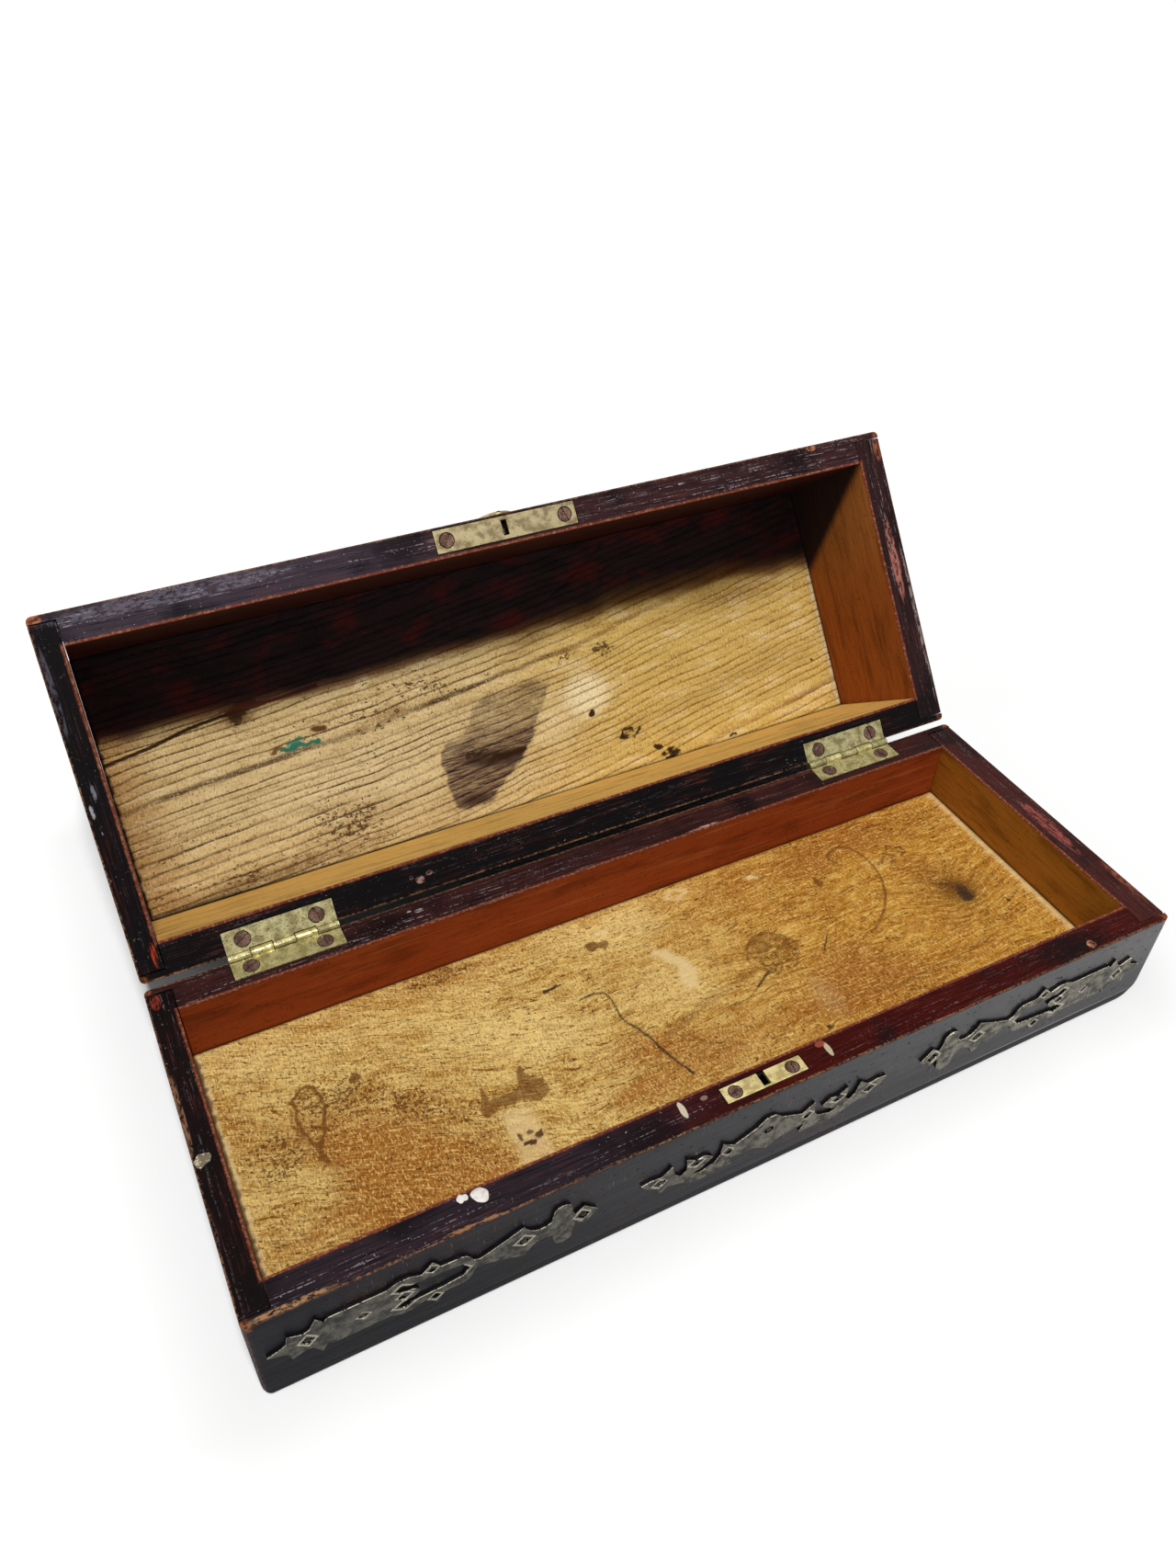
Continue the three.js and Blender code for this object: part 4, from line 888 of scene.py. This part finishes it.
# the painted shadow's colour: dark, with red patches
painted_shadow_colour = coats(tint((52, 38, 50), (22, 26, 38), fade(mottle, 0.4, 0.6)),
              ((112, 38, 40), fade(noise(place, 14, (1.6, 1, 1), 4, 0.6), 0.5, 0.68) * 0.6))
outside = fade(z, 98.2, 99.2)
straw = coats(
    tint((208, 180, 124), (208, 174, 92), fade(x, -30, 60)),
    ((170, 120, 56), fade(x, -134, -156) * 0.7),
    ((238, 214, 164), fade(mottle, 0.5, 0.7) * 0.6),
    ((156, 118, 66), fade(mottle, 0.5, 0.3) * fade(x, -30, 70, 0.75, 0.35)),
    ((120, 84, 42), fade(fibre, 0.46, 0.28) * fade(x, -30, 70, 0.75, 0.5)),
    ((244, 222, 172), fade(fibre, 0.55, 0.74) * 0.5),
    ((248, 230, 184), mark("pale") * 0.9),
    (tint((74, 50, 26), (126, 80, 28), fade(x, -30, 70)), ringed),
    ((104, 68, 30), fade(weft, 0.53, 0.66) * 0.6),
    ((250, 232, 188), fade(weft, 0.45, 0.32) * 0.4),
    ((66, 40, 18), freckle * 0.9),
    ((98, 62, 28), ragged(mark("brown"), grit, 0.3)),
    (purple, ragged(mark("stain"), grit, 0.3) * fade(fibre, 0.62, 0.42, 0.55, 1.0)),
    ((40, 20, 16), ragged(mark("blackest"), fibre)),
    ((44, 112, 92), ragged(mark("teal"), grit, 0.7)),
    ((50, 28, 14), ragged(mark("gouge"), grit, 0.7)),
    # a red-brown edge painted along the shadow's border, then the painted shadow itself
    ((120, 58, 16), fade(mark("painted_shadow"), 0.0, 0.3) * 0.6),
    (painted_shadow_colour, mark("painted_shadow")),
    ((34, 18, 10), mark("seam")),
    (blackened(place)[0], outside))
dress(pine_shader, straw, fade(fibre, 0.3, 0.7, 0.62, 0.8), relief=line * -0.8 + fibre + weft * 0.4,
      height=0.14, Specular_IOR_Level=0.05, Coat_Weight=outside * 0.35, Coat_Roughness=0.3)
board("pine_board", "upper", 96.7, 114.2, pine_marks, pine_wood)

# %% [markdown]
# ## Brass and iron
# The metals are old. The hinges still show yellow under dark specks, the mounts and the lock have gone
# grey-gold, and the screws are brown with rust. Dirt isn't metal: where it lies, the shader is dull and not
# metallic. One recipe does for all of them, and a table lists what each finish takes. The mounts have their
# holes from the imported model, and the hollows between them, too shallow to cut, are only darkened.

# %% Metal finishes
# dark hollows of the pierced mounts: distance from the middle of the front, height above the mount's
# middle line, and half the width and height
HOLLOWS = [(148.2, 0.3, 1.6, 1.8), (121, 4.8, 1.8, 1.4), (120.6, 0.7, 1.5, 1.3), (120.8, -4.2, 2.3, 1.5),
           (111.9, 8.2, 1.3, 1.2), (111.9, -7.4, 1.3, 1.2), (102.6, 0, 1.3, 1.5), (84.1, 0.9, 1.9, 1.6),
           (65.6, 0.6, 1.6, 1.8), (132.5, 0, 1.2, 1.1), (39.3, -0.9, 1.6, 1.4), (26.4, 1.6, 1.9, 1.4),
           (15, 0, 1.3, 1.3)]
MOUNTS_MIDDLE_X, MOUNTS_FACE_Y = -1.85, -62.1


def metal(name, half, bright, dull, dirt, specks, metallic, rubbed):
    """Old metal. bright and dull are the two tones of the surface, dirt the colour of its specks, and specks
    says how many there are. rubbed, the pale tone of rubbed edges and painted highlights, is None but for the
    pierced mounts: they are darker to the left, pale on the bevel just behind their front face (worn brass
    and a painted highlight), dark in their hollows, and black on their cut sides (dirt and painted shade)."""
    material, shader, place = start(name, half)
    patchy = noise(place, 3.2, (1, 1, 1), 4, 0.6)
    fine = noise(place, 0.55, (1, 1, 1), 3, 0.6)
    dark = fade(fine, 0.66 - specks, 0.74 - specks)
    colour = coats(tint(dull, bright, fade(patchy, 0.36, 0.64)), (dirt, dark))
    if rubbed:
        x, y, z = split(place)
        behind = y - MOUNTS_FACE_Y
        # darker towards the left; pale on the bevel just behind the face, worn brass and a painted highlight
        colour = coats(colour, (dirt, fade(x, 120, -150, 0, 0.55)),
                       (rubbed, fade(behind, 0.02, 0.10) * fade(fine, 0.36, 0.54)))
        out = abs(x - MOUNTS_MIDDLE_X)
        up = z - (fade(x, -55, -50, 23.5, 22.3) - fade(x, 50, 55, 0, 0.4))
        for at, high, wide, tall in HOLLOWS:
            away = abs(out - at) * (1 / wide) + abs(up - high) * (1 / tall) + (fine - 0.5) * 1.1
            hollow = fade(away, 1.45, 1.1)
            colour = coats(colour, (rubbed, fade(away, 1.3, 1.6) * fade(away, 2.2, 1.7) * 0.45),
                           ((12, 11, 10), hollow))
            dark = most(dark, hollow)
        # the cut sides behind the face turn black: dirt and painted shade
        dirt_and_shade_sides = fade(behind, 0.26, 0.36)
        colour = tint(colour, (8, 7, 7), dirt_and_shade_sides)
        dark = most(dark, dirt_and_shade_sides)
    dress(shader, colour, fade(patchy, 0.3, 0.7, 0.6, 0.34), relief=patchy + fine * 0.5, height=0.07,
          Metallic=fade(dark, 0, 1, metallic, 0), Specular_IOR_Level=0.15)
    return material


METALS = [
    # finish, tray, bright, dull and dirt, specks, how metallic, bevel in mm, slot, pieces
    ("mount_brass", "lower", (118, 113, 98), (65, 63, 57), (17, 16, 15), 0.10, 0.85, 0.34, "mount_brass",
     "left_strap right_strap centre_mount"),
    ("hinge_brass_lower", "lower", (204, 194, 138), (146, 134, 84), (60, 50, 34), 0.09, 0.85, 0.16,
     "hinge_brass", "left_hinge_lower_leaf right_hinge_lower_leaf"),
    ("hinge_brass_upper", "upper", (180, 172, 126), (126, 116, 80), (56, 48, 34), 0.09, 0.85, 0.16,
     "hinge_brass", "left_hinge_upper_leaf right_hinge_upper_leaf"),
    ("hinge_pin_steel", "lower", (150, 140, 110), (96, 84, 60), (50, 40, 30), 0.05, 0.85, 0.12,
     "hinge_pin_steel", "left_hinge_pin right_hinge_pin"),
    ("link_brass", "lower", (222, 206, 150), (168, 150, 98), (70, 50, 34), 0.03, 0.85, 0.2, "lock_brass",
     "link_plate"),
    ("lock_brass", "upper", (168, 154, 118), (116, 102, 74), (58, 42, 34), 0.05, 0.85, 0.2, "lock_brass",
     "lock_plate"),
    ("keyhole_brass", "upper", (190, 172, 120), (136, 118, 76), (50, 40, 30), 0.03, 0.85, 0.4,
     "keyhole_brass", "keyhole_plate"),
    ("lock_iron", "upper", (110, 96, 84), (70, 54, 44), (34, 24, 20), 0.08, 0.6, 0.1, "lock_iron",
     "lock_cap lock_bolt lock_spring lock_key_post"),
    ("screw_iron_lower", "lower", (128, 98, 84), (80, 56, 46), (34, 22, 18), 0.12, 0.5, 0.12, "screw_iron",
     "link_screw_1 link_screw_2 left_hinge_lower_screw_1 left_hinge_lower_screw_2 right_hinge_lower_screw_1"
     " right_hinge_lower_screw_2"),
    ("screw_iron_upper", "upper", (128, 98, 84), (80, 56, 46), (34, 22, 18), 0.12, 0.5, 0.12, "screw_iron",
     "lock_screw_1 lock_screw_2 left_hinge_upper_screw_1 left_hinge_upper_screw_2 right_hinge_upper_screw_1"
     " right_hinge_upper_screw_2"),
    ("brad_iron", "lower", (70, 60, 52), (38, 32, 28), (20, 16, 14), 0.08, 0.5, 0.1, "brad_iron",
     " ".join(f"{side}_strap_brad_{n}" for side in ("left", "right") for n in (1, 2, 3, 4))
     + " centre_mount_brad_1 centre_mount_brad_2 centre_mount_brad_3"),
    ("keyhole_brad_iron", "upper", (70, 60, 52), (38, 32, 28), (20, 16, 14), 0.08, 0.5, 0.1, "brad_iron",
     "keyhole_plate_brad_1 keyhole_plate_brad_2"),
]
for finish, half, *tones, bevel_mm, slot, names in METALS:
    material = metal(finish, half, *tones, rubbed=(236, 228, 202) if finish == "mount_brass" else None)
    for node in names.split():
        eased(node, bevel_mm, material, 2, 35)
    print(finish, "on", len(names.split()), "pieces")

# %% [markdown]
# ## Drops of paint and putty
# White paint has dripped on the front rim of the shallow tray, and a dab of putty sits on its left rim. A
# flattened ball would look too round, so each is a low dome with a wavy outline, computed as rings of
# points about its middle. It is lower than the 0.4 mm that stay open between the rims of the closed box.

# %% Drops
RINGS, ROUND = 10, 48


def drop(name, cx, cy, rim_z, radius, height, waves, material, seed):
    """A low dome on the rim. Round the circle the radius swings by waves, and the height falls from the
    middle to the edge as 1 - r^2. A flat underside closes it."""
    turn = np.linspace(0, 2 * np.pi, ROUND, endpoint=False)
    phase = np.random.default_rng(seed).uniform(0, 6.28, 4)
    outline = 1 + waves * (np.sin(2 * turn + phase[0]) + 0.6 * np.sin(3 * turn + phase[1])
                           + 0.4 * np.sin(5 * turn + phase[2]))
    rings = np.linspace(1, 0.08, RINGS)[:, None]
    x = cx + radius * outline * rings * np.cos(turn)
    y = cy + radius * outline * rings * np.sin(turn)
    z = rim_z + height * (1 - rings**2) + 0 * turn
    top = np.stack([x, y, z], -1).reshape(-1, 3)
    points = np.concatenate([top, [[cx, cy, rim_z + height], [cx, cy, rim_z - 0.1]]])
    index = np.arange(RINGS * ROUND).reshape(RINGS, ROUND)
    side = np.roll(index, -1, 1)
    peak, base = np.full(ROUND, RINGS * ROUND), np.full(ROUND, RINGS * ROUND + 1)
    quads = np.stack([index[:-1], side[:-1], side[1:], index[1:]], -1).reshape(-1, 4)
    caps = np.concatenate([np.stack(corners, -1) for corners in (
        (index[-1], side[-1], peak), (side[0], index[0], base))])
    mesh = bpy.data.meshes.new(name)
    mesh.from_pydata((points * MM).tolist(), [], quads.tolist() + caps.tolist())
    mesh.polygons.foreach_set("use_smooth", np.ones(len(mesh.polygons), bool))
    add_piece(name, mesh, material, "lower")
    print(name, "%.1f mm wide" % (2 * radius))


white_paint, paint_shader, place = start("dried_white_paint")
dress(paint_shader, tint((236, 232, 224), (206, 198, 186), fade(noise(place, 1.2), 0.45, 0.7)), 0.55,
      relief=noise(place, 0.8), height=0.1)
putty, putty_shader, place = start("old_putty")
crumbs = fade(noise(place, 1.1, (1, 1, 1), 3, 0.6), 0.54, 0.62)
dress(putty_shader, tint((112, 98, 74), (206, 196, 176), crumbs), 0.8, relief=noise(place, 0.9), height=0.25)
drop("paint_drop", -95.2, -52.8, LOWER_RIM, 2.5, 0.34, 0.09, white_paint, 1)
drop("paint_splash", -100.2, -51.6, LOWER_RIM, 1.5, 0.25, 0.16, white_paint, 2)
drop("putty_dab", -162.2, -7.9, LOWER_RIM - 0.05, 2.5, 0.38, 0.14, putty, 3)

# %% Last line
scene.view_settings.view_transform = "Standard"
